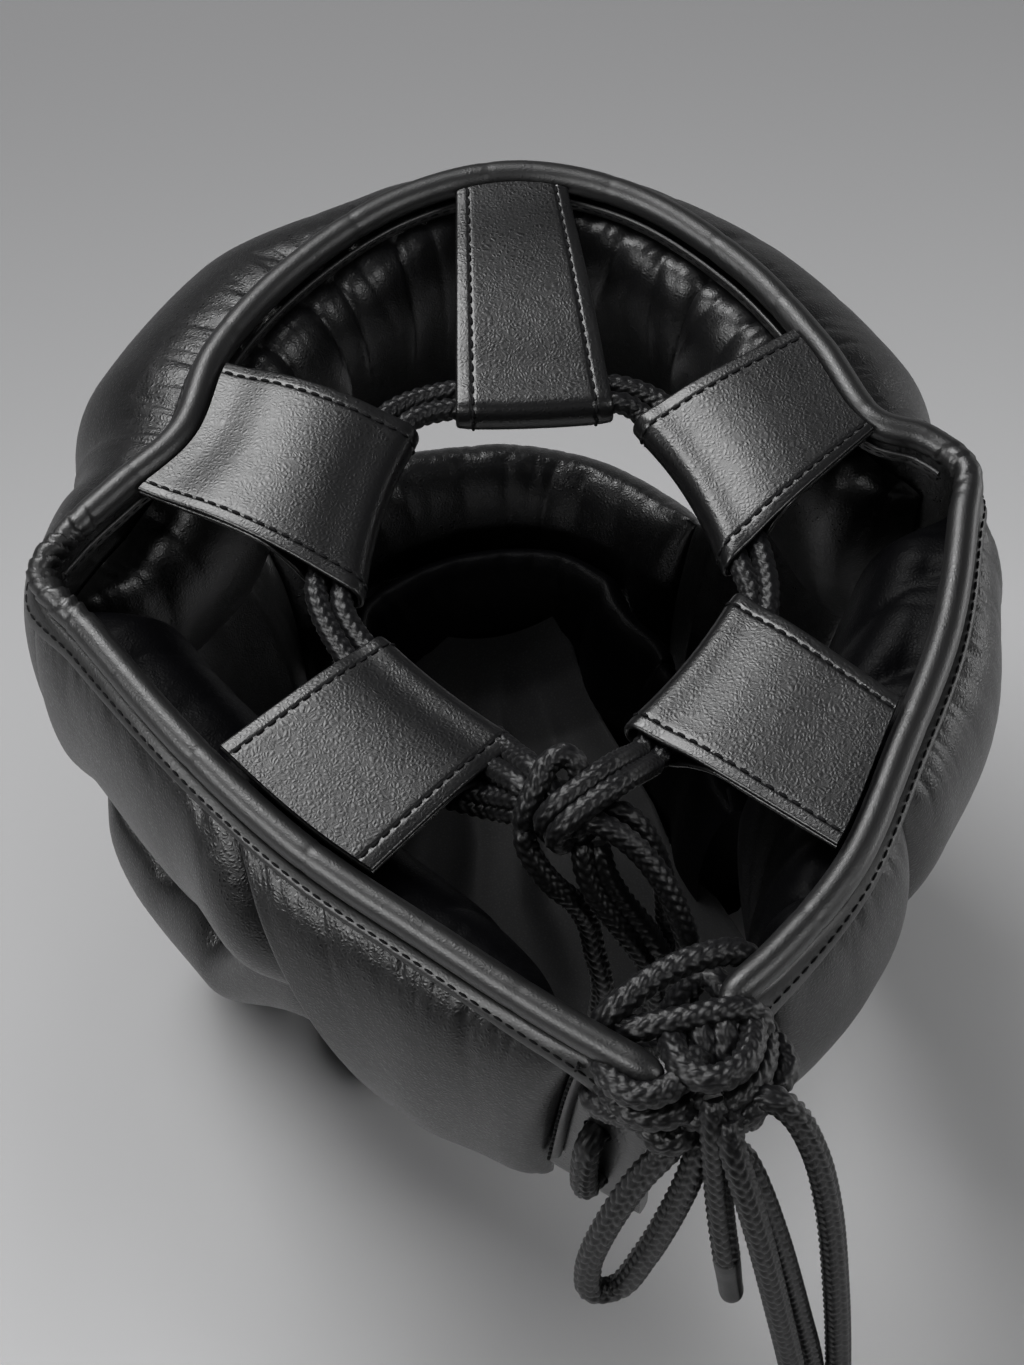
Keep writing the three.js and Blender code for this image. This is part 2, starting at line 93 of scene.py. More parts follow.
# Full-grain leather, dyed black and lightly glazed: pebble cells parted by fine creases, satin gloss on
# the cells, duller valleys and slow changes of gloss from handling; the valleys' darker colour is painted
# shade.
hide = {"warp": 4, "push": 2.5, "edge": 0.45, "poreShare": 0.2, "rollHeight": 1.2, "grainHeight": 0.3,
        "patches": (0.3, 0.7), "ior": 1.5}  # warp and push in cells, heights in millimetres
leatherColumns = ("cell", "pore", "patch", "roll", "rolls", "relief", "gloss", "dull", "shine", "dark",
                  "light", "valley")
leathers = {  # sizes in millimetres
    # firm and satin on the cushions, softer on the liners
    "pad_cowhide": (1.1, 1.3, 22, 6, 0.2, 0.3, (0.24, 0.32), 0.42, 0.65, "#0c0c0d", "#131314", "#09090a"),
    "liner_lambskin": (1.0, 1.2, 18, 5, 0.2, 0.2, (0.26, 0.34), 0.42, 0.7, "#0a0a0b", "#101011", "#070708"),
    # glossier flat straps, with an even grain
    "strap_cowhide": (1.2, 1.6, 16, 7, 0.06, 0.16, (0.25, 0.3), 0.34, 0.75, "#0f0f10", "#161617", "#0b0b0c"),
    # dull skin inside the flaps, its near-black colour painted shade; the chin strap's matt split, its paler
    # grey painted light
    "side_lambskin": (1.0, 1.2, 18, 5, 0.2, 0.2, (0.36, 0.46), 0.5, 0.07, "#040405", "#070708", "#030304"),
    # the chin strap's paler grey colour is painted light
    "panel_split": (1.0, 1.2, 25, 8, 0.1, 0.15, (0.55, 0.62), 0.65, 0.3, "#2a2a2b", "#323233", "#242425"),
    # stretched smooth round the piping's core
    "piping_cowhide": (1.0, 1.2, 14, 9, 0.15, 0.12, (0.33, 0.4), 0.45, 1.0, "#0d0d0e", "#131314", "#0a0a0b"),
}


def blackLeather(name):
    look = dict(zip(leatherColumns, leathers[name]))
    material, tree, shader, spot = newMaterial(name)
    cell = look["cell"] * mm
    warp = addNode(tree, "ShaderNodeTexNoise", {"Vector": spot}, Scale=1 / (hide["warp"] * cell), Detail=1.0)
    push = addNode(tree, "ShaderNodeVectorMath", {0: warp.outputs["Color"]}, operation="SCALE",
                   Scale=hide["push"] * cell)
    moved = addNode(tree, "ShaderNodeVectorMath", {0: spot, 1: push.outputs[0]}, operation="ADD")
    cells = addNode(tree, "ShaderNodeTexVoronoi", {"Vector": moved.outputs[0]}, feature="DISTANCE_TO_EDGE",
                    Scale=1 / cell)
    pebble = addNode(tree, "ShaderNodeMapRange", {"Value": cells.outputs["Distance"]},
                     interpolation_type="SMOOTHSTEP", From_Max=hide["edge"])
    pores = addNode(tree, "ShaderNodeTexNoise", {"Vector": spot}, Scale=1 / (look["pore"] * mm), Detail=2.0)
    broad = addNode(tree, "ShaderNodeTexNoise", {"Vector": spot}, Scale=1 / (look["patch"] * mm), Detail=3.0)
    height = addNode(tree, "ShaderNodeMix", {2: pebble.outputs[0], 3: pores.outputs["Fac"]},
                     Factor=hide["poreShare"])
    rolls = addNode(tree, "ShaderNodeTexNoise", {"Vector": spot}, Scale=1 / (look["roll"] * mm), Detail=4.0,
                    Distortion=0.6)
    slow = addNode(tree, "ShaderNodeBump", {"Height": rolls.outputs["Fac"]}, Strength=look["rolls"],
                   Distance=hide["rollHeight"] * mm)
    grain = addNode(tree, "ShaderNodeBump", {"Height": height.outputs[0], "Normal": slow.outputs[0]},
                    Strength=look["relief"], Distance=hide["grainHeight"] * mm)
    rough = addNode(tree, "ShaderNodeMapRange", {"Value": broad.outputs["Fac"]}, From_Min=hide["patches"][0],
                    From_Max=hide["patches"][1], To_Min=look["gloss"][0], To_Max=look["gloss"][1])
    dull = addNode(tree, "ShaderNodeMix", {0: pebble.outputs[0], 2: look["dull"], 3: rough.outputs[0]})
    toneMix = addNode(tree, "ShaderNodeMix", {0: broad.outputs["Fac"], 6: linear(look["dark"]),
                                          7: linear(look["light"])}, data_type="RGBA")
    # painted shade: the valley colour darkens the grain's valleys between the pebble cells
    valleyShade = addNode(tree, "ShaderNodeMix", {0: pebble.outputs[0], 6: linear(look["valley"]),
                                           7: toneMix.outputs[2]}, data_type="RGBA")
    feed(tree, shader, {"Base Color": valleyShade.outputs[2], "Normal": grain.outputs[0],
                        "Roughness": dull.outputs[0], "IOR": hide["ior"], "Specular IOR Level": look["shine"]})
    return material


# Braided polyester cord: matt black yarn whose filaments give a faint soft sheen.
# The strands' crests are painted paler and the gaps between them darker: painted highlight and painted shade.
yarn = {"filament": 0.3, "relief": 0.12, "thread": "#030304", "bright": "#101012", "rough": 0.4,
        "sheen": 0.05}


def braidedPolyester(name):
    material, tree, shader, _ = newMaterial(name)
    along = addNode(tree, "ShaderNodeUVMap", uv_map="braid")
    lines = addNode(tree, "ShaderNodeTexNoise", {"Vector": along.outputs[0]}, Scale=1 / yarn["filament"],
                    Detail=2.0)
    bump = addNode(tree, "ShaderNodeBump", {"Height": lines.outputs["Fac"]}, Strength=0.5,
                   Distance=yarn["relief"] * mm)
    raised = addNode(tree, "ShaderNodeAttribute", attribute_name="crest")
    # painted highlight and shade: the thread colour in the gaps between strands, the crest colour on their
    # crests
    toneMix = addNode(tree, "ShaderNodeMix", {0: raised.outputs["Fac"], 6: linear(yarn["thread"]),
                                          7: linear(yarn["bright"])}, data_type="RGBA")
    feed(tree, shader, {"Base Color": toneMix.outputs[2], "Normal": bump.outputs[0], "Roughness": yarn["rough"],
                        "Sheen Weight": yarn["sheen"], "Sheen Roughness": yarn["rough"]})
    return material


# Bonded nylon sewing thread: black, slightly waxed.
ply = {"twist": 0.5, "relief": 0.1, "dark": "#08080a", "light": "#151516", "rough": 0.7, "shine": 0.15}


def sewingThread(name):
    material, tree, shader, spot = newMaterial(name)
    waves = addNode(tree, "ShaderNodeTexNoise", {"Vector": spot}, Scale=1 / (ply["twist"] * mm))
    toneMix = addNode(tree, "ShaderNodeMix", {0: waves.outputs["Fac"], 6: linear(ply["dark"]),
                                          7: linear(ply["light"])}, data_type="RGBA")
    bump = addNode(tree, "ShaderNodeBump", {"Height": waves.outputs["Fac"]}, Strength=0.4,
                   Distance=ply["relief"] * mm)
    feed(tree, shader, {"Base Color": toneMix.outputs[2], "Normal": bump.outputs[0], "Roughness": ply["rough"],
                        "Specular IOR Level": ply["shine"]})
    return material


# Shrink tube on the lace ends: moulded black polyolefin, smooth with faint marks.
shrink = {"grain": 0.8, "relief": 0.1, "dark": "#0c0c0d", "light": "#141415", "gloss": (0.28, 0.46)}


def shrinkTube(name):
    material, tree, shader, spot = newMaterial(name)
    marks = addNode(tree, "ShaderNodeTexNoise", {"Vector": spot}, Scale=1 / (shrink["grain"] * mm),
                    Detail=3.0)
    toneMix = addNode(tree, "ShaderNodeMix", {0: marks.outputs["Fac"], 6: linear(shrink["dark"]),
                                          7: linear(shrink["light"])}, data_type="RGBA")
    rough = addNode(tree, "ShaderNodeMapRange", {"Value": marks.outputs["Fac"]}, To_Min=shrink["gloss"][0],
                    To_Max=shrink["gloss"][1])
    bump = addNode(tree, "ShaderNodeBump", {"Height": marks.outputs["Fac"]}, Strength=0.2,
                   Distance=shrink["relief"] * mm)
    feed(tree, shader, {"Base Color": toneMix.outputs[2], "Normal": bump.outputs[0],
                        "Roughness": rough.outputs[0]})
    return material


padLeather, linerLeather, strapLeather, shadedSideLeather, litPanelLeather, pipingLeather = map(blackLeather, leathers)
cordBraid = braidedPolyester("cord_polyester")
threadNylon = sewingThread("thread_nylon")
tipPlastic = shrinkTube("tip_polyolefin")
print("materials made")

# Mesh helpers

sharpAngle = 60  # degrees, past which an edge is shaded sharp


def shownName(node):  # browShell for brow_shell
    first, *others = node.split("_")
    return first + "".join(word.title() for word in others)


def addObject(name, data):
    item = bpy.data.objects.new(name, data)
    bpy.context.scene.collection.objects.link(item)
    return item


def linkMesh(name, verts, faces, material):
    mesh = bpy.data.meshes.new(name)
    mesh.from_pydata(np.asarray(verts).tolist(), [], faces)
    mesh.polygons.foreach_set("use_smooth", [True] * len(mesh.polygons))
    mesh.set_sharp_from_angle(angle=math.radians(sharpAngle))
    mesh.materials.append(material)
    return addObject(name, mesh)


def loftFaces(stations, size):
    faces = []
    for s in range(stations - 1):
        here, there = s * size, (s + 1) * size
        for i in range(size):
            j = (i + 1) % size
            faces.append((here + i, there + i, there + j, here + j))
    return faces


def capFaces(start, size, flip):  # ring points pair up from both ends
    faces = []
    for i in range((size - 1) // 2):
        j = size - 1 - i
        quad = [start + i, start + i + 1, start + j - 1, start + j]
        if i + 1 == j - 1:
            quad.pop(2)
        faces.append(tuple(reversed(quad)) if flip else tuple(quad))
    return faces


def signedVolume(grid):
    a, b = grid[:-1], grid[1:]
    an, bn = np.roll(a, -1, axis=1), np.roll(b, -1, axis=1)
    middle = grid.reshape(-1, 3).mean(0)
    a, b, an, bn = a - middle, b - middle, an - middle, bn - middle
    return (np.cross(a, b) * bn).sum() + (np.cross(a, bn) * an).sum()


def loftPiece(name, grid, material):  # grid: stations, ring, place in mm
    stations, size = grid.shape[:2]
    if signedVolume(grid) < 0:
        grid = grid[:, ::-1]
    faces = loftFaces(stations, size)
    faces += capFaces(0, size, False)
    faces += capFaces((stations - 1) * size, size, True)
    return linkMesh(name, toRow(grid.reshape(-1, 3)), faces, material)


def gridNormals(grid):
    ahead = np.gradient(grid, axis=0)
    ring = (np.roll(grid, -1, axis=1) - np.roll(grid, 1, axis=1)) / 2
    normal = np.cross(ahead, ring)
    normal /= np.maximum(np.linalg.norm(normal, axis=2, keepdims=True), 1e-9)
    return normal if signedVolume(grid) > 0 else -normal


def smoothstep(low, high, value):
    share = np.clip((value - low) / (high - low), 0, 1)
    return share * share * (3 - 2 * share)


def fullTurn(count):
    return np.linspace(0, 2 * math.pi, count, endpoint=False)


def runOf(points):  # distance along a line of points
    return np.concatenate([[0], np.cumsum(np.linalg.norm(np.diff(points, axis=0), axis=1))])


# Bands: a line in plan through the rows of a table, with columns that change smoothly from row to row


def rowLine(points):  # centripetal curve, read by row number
    rows = np.array(points, float)
    rows = np.vstack([2 * rows[0] - rows[1], rows, 2 * rows[-1] - rows[-2]])

    def at(row):
        row = np.asarray(row, float)
        k = np.clip(np.floor(row).astype(int), 0, len(rows) - 4)
        w = (row - k)[..., None]
        p0, p1, p2, p3 = rows[k], rows[k + 1], rows[k + 2], rows[k + 3]
        d0, d1, d2 = (np.linalg.norm(b - a, axis=-1, keepdims=True) ** 0.5
                      for a, b in ((p0, p1), (p1, p2), (p2, p3)))
        m1 = ((p1 - p0) / d0 - (p2 - p0) / (d0 + d1) + (p2 - p1) / d1) * d1
        m2 = ((p2 - p1) / d1 - (p3 - p1) / (d1 + d2) + (p3 - p2) / d2) * d1
        return p1 + m1 * w + (3 * (p2 - p1) - 2 * m1 - m2) * w ** 2 + (2 * (p1 - p2) + m1 + m2) * w ** 3

    return at


class Band:
    def __init__(self, columns, rows):
        self.columns = columns
        self.table = np.array(rows, float)
        self.line = rowLine(self.table[:, :2])

    def at(self, row, reach=0.002):  # reach in rows smooths the outward direction
        row = np.asarray(row, float)
        point = self.line(row)
        ahead = self.line(row + reach) - self.line(row - reach)
        ahead /= np.linalg.norm(ahead, axis=-1, keepdims=True)
        outward = np.stack([-ahead[..., 1], ahead[..., 0]], -1)
        lower = np.clip(np.floor(row).astype(int), 0, len(self.table) - 2)
        share = smoothstep(0, 1, row - lower)[..., None]
        values = self.table[lower] * (1 - share) + self.table[lower + 1] * share
        found = {name: values[..., i + 2] for i, name in enumerate(self.columns)}
        return {"point": point, "outward": outward, **found}

    def evenRows(self, start, end, step):  # rows about step mm apart along the line
        fine = np.linspace(start, end, 2000)
        length = runOf(self.line(fine))
        count = max(3, int(round(length[-1] / step)) + 1)
        along = np.linspace(0, length[-1], count)
        return np.interp(along, length, fine), along


# Top rim: back left, left temple corner (row 6), brow, right temple corner (row 19), back right
rim = Band(("outer", "inner", "drop", "lean"), [
    (-18, 146, 7, 6, 88, -2), (5, 127, 14, 9, 93, -3), (30, 104, 20, 12, 100, -6),
    (58, 77, 23, 13, 101, -10), (82, 46, 16, 13, 94, -9), (105, 9, 12, 10, 83, -5),
    (116, -10, 9, 7, 84, 2), (110, -20, 16, 7, 88, 7), (95, -35, 24, 11, 90, 10),
    (79, -50, 31, 14, 90, 14), (68, -76, 37, 15, 90, 14), (46, -102, 38, 17, 90, 11),
    (14, -124, 27, 18, 90, 6), (-18, -130, 20, 18, 90, 4), (-49, -118, 25, 18, 90, 8),
    (-75, -90, 29, 16, 90, 12), (-91, -59, 31, 14, 90, 12), (-101, -32, 27, 11, 90, 10),
    (-113, -25, 17, 7, 88, 7), (-121, -14, 9, 7, 84, 2), (-117, 2, 17, 10, 83, -5),
    (-106, 34, 22, 13, 93, -9), (-88, 67, 20, 13, 94, -10), (-70, 97, 15, 12, 93, -6),
    (-50, 117, 11, 9, 92, -3), (-34, 129, 7, 6, 90, -2),
])
settle = 6  # how far the floor presses the lowest cushions flat
jaw = Band(("outer", "inner", "top", "bottom", "tuck"), [
    (59, 61, 12, 9, 190, 112, 2), (79, 31, 18, 8, 124, 84, 8), (98, 3, 14, 11, 109, 52, 14),
    (111, -24, 14, 12, 103, -settle, 30), (103, -41, 17, 12, 149.5, -settle, 26),
    (91, -57, 19, 12, 149.5, -settle, 18), (80, -83, 18, 19, 149.5, -settle, 16),
    (62, -105, 14, 13, 112, 20, 6), (45, -126, 15, 13, 100, 30, 0), (19, -141, 15, 13, 98, 30, 0),
    (-11, -146, 15, 13, 94, 30, 0), (-40, -141, 15, 13, 90, 30, 0), (-61, -125, 15, 13, 90, 30, 0),
    (-74, -107, 14, 13, 98, 20, 6), (-86, -95, 18, 12, 149.5, -settle, 16),
    (-102, -64, 19, 12, 149.5, -settle, 18), (-110, -41, 17, 12, 149.5, -settle, 26),
    (-115, -24, 14, 12, 103, -settle, 28), (-107, 3, 14, 11, 109, 52, 14),
    (-93, 34, 12, 8, 124, 80, 8), (-80, 65, 8, 6, 166, 98, 2),
])
rimHeight = 240


def place(station, out, z):
    flat = station["point"] + station["outward"] * np.asarray(out)[..., None]
    return np.concatenate([flat, np.broadcast_to(z, flat.shape[:-1])[..., None]], -1)


def dress(piece, slot, *nodes):
    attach(piece, "root")
    if nodes:
        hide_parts(*nodes)
    return piece


# Cushions: padded leather, drawn in by the seams

cushionSizes = {"padTop": 4.3, "seamGap": 0.4, "endRun": 16, "endSwell": 0.35, "ahead": 0.7, "slipDepth": 95,
                "slipTurns": 8, "chinSet": 11.4, "chinHalf": 11, "chinTop": 69, "chinLevel": 28}
padWaves = {"long": 17, "short": 9, "shortShare": 0.6, "height": 0.35}  # soft unevenness of the stuffing
# creases: side (1 outside, -1 inside), seam, pitch, depth, width, reach, lean, tilt and how sharp they end
outerCreases = (
    (1, "top", 2.5, 0.75, 0.75, 10, 0.25, 0, 1.4),  # puckers and longer pulls at the piping
    (1, "top", 9, 0.8, 2.4, 20, 0.25, 0, 1.4),
    (1, "bottom", 3.4, 0.5, 0.9, 9, 0.15, 0, 1.4),
)
browGathers = (
    (-1, "top", 13, 3.2, 3.6, 34, 0.1, 0, 0.9),
    (-1, "top", 3.4, 0.7, 0.9, 13, 0.15, 0, 1.4),
    (-1, "bottom", 10, 2, 2.5, 24, 0.2, 0, 1),
)
sideGathers = (
    (-1, "top", 34, 2.4, 5, 40, 0.3, 0, 1),
    (-1, "top", 4, 0.5, 1, 9, 0.3, 0, 1.4),
)
deepFolds = (
    (-1, "top", 26, 7, 7, 60, 0.1, 0.5, 0.9),
    (-1, "top", 5, 0.6, 1.1, 14, 0.3, 0, 1.4),
)
barCreases = (
    (-1, "top", 12, 1.5, 3.4, 26, 0.15, 0, 1.4),
    (1, "top", 3.2, 0.5, 0.8, 9, 0.2, 0, 1.4),
    (1, "bottom", 3.4, 0.5, 0.9, 9, 0.2, 0, 1.4),
)
chinCreases = ((-1, "top", 14, 0.9, 3, 20, 0.2, 0, 1),)
earSeam = -1.7  # rows that the seam between ear and rear pad slips back on its way down
cushions = {  # kind, rows of its band, seed, creases, and what only some have; pairs are (row, millimetres)
    "brow_shell": ("outer", (6.04, 18.96), 11, outerCreases, {}),
    "ear_pad_left": ("outer", (3.792, 5.96), 12, outerCreases, {
        "slant": (earSeam, 0),
        "drop": ((2.4, 58), (3, 60), (3.5, 72), (4, 88), (4.5, 92), (5, 88), (5.96, 84))}),
    "rear_pad_left": ("outer", (0.6, 3.77), 13, outerCreases, {"slant": (0.4, earSeam), "endRuns": (16, 8)}),
    "ear_pad_right": ("outer", (19.04, 22.3), 14, outerCreases, {}),
    "rear_pad_right": ("outer", (22.32, 24.15), 15, outerCreases, {}),
    "brow_liner": ("inner", (6.9, 18.1), 16, browGathers, {
        "raise": -6, "full": 0.75, "crest": (11, 9, 3.5), "taper": 0.3,
        "top": ((6.9, 30), (8, 26), (9, 13), (10, 8), (15.5, 8), (16.5, 14), (18.1, 26)),
        "bulge": ((6.9, 10), (8, 24), (9, 30), (10, 31), (11, 28), (12, 24), (13, 22), (14, 24), (15, 27),
                  (16, 29), (17, 24), (18.1, 10))}),
    # the side liners and the chin pad wear the flaps' leather, whose near-black colour is painted shade
    "side_liner_left": ("inner", (1.05, 5.9), 17, sideGathers, {
        "raise": 2, "full": 0.6, "leather": shadedSideLeather, "top": ((1.05, 5.5), (5, 5.5), (5.9, 14)),
        "bulge": ((1.05, 15), (2, 24), (3, 27), (4, 27), (5, 25), (5.9, 12))}),
    "side_liner_right": ("inner", (19.1, 24.1), 18, deepFolds, {
        "raise": 2, "full": 0.6, "leather": shadedSideLeather, "top": ((19.1, 16), (20.2, 6), (24.1, 5.5)),
        "bulge": ((19.1, 12), (20, 22), (21, 27), (22, 31), (23, 22), (24.1, 12))}),
    "jaw_pad_left": ("whole", (0, 6.99), 19, barCreases[:1], {}),
    "jaw_pad_right": ("whole", (13.01, 20), 20, barCreases[:1], {}),
    "face_bar": ("whole", (7.01, 12.99), 21, barCreases, {}),
    "chin_pad": ("chin", (2.7, 17.3), 22, chinCreases, {"leather": shadedSideLeather}),
}
cushionMake = {  # step along, places round the front and the back, leather, slot and how full it is stuffed
    "outer": (0.65, (34, 6), padLeather, "pad_leather", 0.75),
    "inner": (1.0, (6, 40), linerLeather, "liner_leather", 0.6),
    "whole": (1.0, (32, 28), padLeather, "pad_leather", 0.75),
    "chin": (1.6, (22, 28), linerLeather, "liner_leather", 0.65),
}


def jawTuck(station, z):
    return -station["tuck"] * (station["top"] - z) / (station["top"] - station["bottom"])


def tableAt(rows, table):  # a column of (row, value) pairs, read between its rows
    return np.interp(rows, *zip(*table))


def padDrop(plan, rows):
    return tableAt(rows, plan["drop"]) if "drop" in plan else rim.at(rows)["drop"]


def slip(down):  # share of a seam's slant that is reached this far below the rim
    return np.sqrt(np.clip(down / cushionSizes["slipDepth"], 0, 1))


def cushionPlaces(plan, band, rows, turn, side, swell):
    size, kind = cushionSizes, plan["kind"]
    at = band.at(rows, size["ahead"]) if band is rim else band.at(rows)
    outerBulge = innerBulge = 0
    if kind == "outer":
        low, high = rimHeight - padDrop(plan, rows), rimHeight - size["padTop"]
        outerBulge = at["outer"]
    elif kind == "inner":
        low, high = rimHeight - at["drop"] + plan["raise"], rimHeight - tableAt(rows, plan["top"])
        innerBulge = tableAt(rows, plan["bulge"]) * (1 - plan.get("taper", 0) * (1 - np.sin(turn)) / 2)
    elif kind == "whole":
        low, high = at["bottom"], at["top"]
        outerBulge, innerBulge = at["outer"], at["inner"]
    else:
        low, high = -settle, size["chinTop"]
        outerBulge = innerBulge = size["chinHalf"]
    z = (low + high) / 2 + np.sin(turn) * (high - low) / 2
    if kind in ("outer", "inner"):
        middle = at["lean"] * (rimHeight - z) / at["drop"]
        middle = middle + (size["seamGap"] if kind == "outer" else -size["seamGap"])
    elif kind == "whole":
        middle = jawTuck(at, z)
    else:
        middle = jawTuck(at, size["chinLevel"]) - size["chinSet"] - size["chinHalf"]
    bulge = np.where(side > 0, outerBulge, innerBulge) * swell
    out = side * bulge * np.cos(turn) ** plan.get("full", 1)
    if "crest" in plan:  # a roll that stands up this far inside the seam
        away, wide, lift = plan["crest"]
        z = z + np.where(turn > 0, lift * swell * np.exp(-((out + away) / wide) ** 2), 0)
    return place(at, middle + out, np.maximum(z, 0))


def addCreases(height, along, away, draw, pitch, depth, width, reach, lean, tilt, cusp):
    spot = 0
    while True:
        spot += pitch * draw.uniform(0.55, 1.45)
        if spot > along[-1]:
            break
        wide = width * draw.uniform(0.7, 1.35)
        long = reach * draw.uniform(0.45, 1.5)
        deep = depth * draw.uniform(0.35, 1.15)
        skew = tilt + draw.normal(0, lean)
        near = np.abs(along - spot) < 5 * wide + 2 * long * abs(skew)
        off = np.abs(along[near][:, None] - spot - skew * away[near]) / wide
        height[near] -= deep * np.exp(-off ** cusp) * np.exp(-(away[near] / long) ** 2)


def ringOf(outerCount, innerCount):
    front = np.linspace(-math.pi / 2, math.pi / 2, outerCount + 1)
    back = np.linspace(math.pi / 2, -math.pi / 2, innerCount + 1)[1:-1]
    turn = np.concatenate([front, back])
    side = np.concatenate([np.ones(len(front)), -np.ones(len(back))])
    return turn, side


def seamDistances(grid, turn, side, wanted):  # how far the places of one side lie from either seam
    step = np.linalg.norm(np.roll(grid, -1, axis=1) - grid, axis=2)
    around = np.concatenate([np.zeros((len(grid), 1)), np.cumsum(step, axis=1)], axis=1)
    here, whole = around[:, :-1], around[:, -1:]
    top = int(np.argmax(turn))
    fromTop = np.abs(here - here[:, top:top + 1])
    fromTop = np.minimum(fromTop, whole - fromTop)
    fromBottom = np.minimum(here, whole - here)
    off = np.where(side == wanted, 0, 1e4)[None, :]
    return {"top": fromTop + off, "bottom": fromBottom + off}


def cushion(node, plan):
    draw = np.random.default_rng(plan["seed"])
    step, ring, leather, slot, fill = cushionMake[plan["kind"]]
    leather = plan.get("leather", leather)
    band = rim if plan["kind"] in ("outer", "inner") else jaw
    lineRows, along = band.evenRows(*plan["rows"], step)
    turn, side = ringOf(*ring)
    endRuns = plan.get("endRuns", (cushionSizes["endRun"], cushionSizes["endRun"]))
    reach = np.minimum(np.minimum(along / endRuns[0], (along[-1] - along) / endRuns[1]), 1)
    swell = cushionSizes["endSwell"] + (1 - cushionSizes["endSwell"]) * np.sqrt(1 - (1 - reach) ** 2)
    depth = (1 - np.sin(turn)) / 2  # 0 at the top seam, 1 at the bottom seam
    rows = np.broadcast_to(lineRows[:, None], (len(lineRows), len(turn)))
    if "slant" in plan:
        lean = np.linspace(*plan["slant"], len(lineRows))
        for _ in range(cushionSizes["slipTurns"]):
            down = depth * (padDrop(plan, rows) - cushionSizes["padTop"])
            rows = lineRows[:, None] + lean[:, None] * slip(down)
    turns, sides = (np.broadcast_to(values, rows.shape) for values in (turn, side))
    grid = cushionPlaces(plan, band, rows, turns, sides, swell[:, None])
    normal = gridNormals(grid)
    height = np.zeros(grid.shape[:2])
    for creaseSide, seam, *sizes in plan["creases"]:
        away = seamDistances(grid, turn, side, creaseSide)[seam]
        addCreases(height, along, away, draw, *sizes)
    phase = draw.uniform(0, 2 * math.pi, 3)
    soft = np.sin(along[:, None] / padWaves["long"] + phase[0]) * np.sin(2 * turn[None, :] + phase[1])
    short = np.sin(along[:, None] / padWaves["short"] + phase[2] + 2 * turn[None, :])
    soft = soft + padWaves["shortShare"] * short
    height += padWaves["height"] * soft * np.cos(turn)[None, :] ** 2 * reach[:, None]
    grid = grid + normal * height[..., None]
    grid[..., 2] = np.maximum(grid[..., 2], 0)
    piece = dress(loftPiece(shownName(node), grid, leather), slot, node)


for cushionNode, (kind, rows, seed, creases, extras) in cushions.items():
    cushion(cushionNode, {"kind": kind, "rows": rows, "seed": seed, "creases": creases, **extras})
print("cushions made")

# Chin strap: a soft panel slung between the arms of the chin pad, with lengthwise folds

strap = {"thick": 2, "sag": 13, "folds": 4, "foldHeight": 1.8, "wrinkles": 9, "wrinkleHeight": 0.3,
         "drift": 0.5, "driftRun": 31, "tight": (-112, -84), "edge": 0.012, "step": 1.5, "columns": 90,
         "flat": (0.118, 0.14)}  # flat size in metres; drawn tight over these y
strapSections = (  # y, left x, right x, height of the edges
    (24, 49, -66, 21), (15, 56, -73.5, 21), (4, 58, -77, 22), (-14, 57.4, -70, 21),
    (-25, 54.2, -62, 20), (-36, 48.8, -58.2, 20), (-52, 42.2, -55.2, 20), (-68, 38.2, -49.2, 21),
    (-84, 29.2, -42.6, 24), (-100, 22.6, -36.4, 34), (-108, 20, -34, 45), (-112, 19, -33, 54),
)


def chinStrap():
    table = np.array(strapSections, float)
    y = np.arange(table[0, 0], table[-1, 0] - 0.01, -strap["step"])
    left, right, edge = (np.interp(-y, -table[:, 0], table[:, k])[:, None] for k in (1, 2, 3))
    share = np.linspace(0, 1, strap["columns"])[None, :]
    dip = 1 - (2 * share - 1) ** 2
    drift = strap["drift"] * np.sin(y / strap["driftRun"])[:, None]
    loose = dip * smoothstep(*strap["tight"], y)[:, None]
    fold = strap["foldHeight"] * loose * np.cos(2 * math.pi * strap["folds"] * share + drift)
    wrinkle = np.cos(2 * math.pi * strap["wrinkles"] * share + 2 * drift + 1)
    fold = fold + strap["wrinkleHeight"] * loose * wrinkle
    x = left + (right - left) * share
    middle = np.stack([x, np.broadcast_to(y[:, None], x.shape), edge - strap["sag"] * dip + fold], -1)
    half = np.array([0, 0, strap["thick"] / 2])
    rounded = np.sqrt(np.clip(np.minimum(share, 1 - share) / strap["edge"], 0.05, 1))[..., None]
    grid = np.concatenate([middle + half * rounded, (middle - half * rounded)[:, ::-1]], axis=1)
    piece = dress(loftPiece("chinStrap", grid, litPanelLeather), "strap_leather", "chin_strap")


chinStrap()
print("chin strap made")

# Tubes along a line


def evenLine(points, step):
    line = rowLine(points)
    rows = np.linspace(0, len(points) - 1, 60 * (len(points) - 1) + 1)
    fine = line(rows)
    length = runOf(fine)
    count = max(4, int(round(length[-1] / step)) + 1)
    along = np.linspace(0, length[-1], count)
    return np.stack([np.interp(along, length, fine[:, k]) for k in range(3)], -1), along


def lineFrames(line):  # two normals along a line, which turn as little as they can
    ahead = np.gradient(line, axis=0)
    ahead /= np.linalg.norm(ahead, axis=1, keepdims=True)
    side = np.zeros_like(line)
    first = np.cross(ahead[0], (0, 0, 1) if abs(ahead[0, 2]) < 0.9 else (0, 1, 0))
    side[0] = first / np.linalg.norm(first)
    for i in range(1, len(line)):
        carried = side[i - 1] - ahead[i] * (side[i - 1] @ ahead[i])
        side[i] = carried / np.linalg.norm(carried)
    return side, np.cross(ahead, side)


def tubeRing(side, up, around):
    return side[:, None] * np.cos(around)[None, :, None] + up[:, None] * np.sin(around)[None, :, None]


# pitch and relief in diameters; the strands' round, their dip and the sealed ends as shares
braid = {"strands": 8, "pitch": 0.5, "relief": 0.14, "around": 34, "step": 0.6, "core": 0.75, "round": 0.6,
         "dip": 0.75, "ends": 0.7, "sealed": 0.72, "sealRun": 0.35}


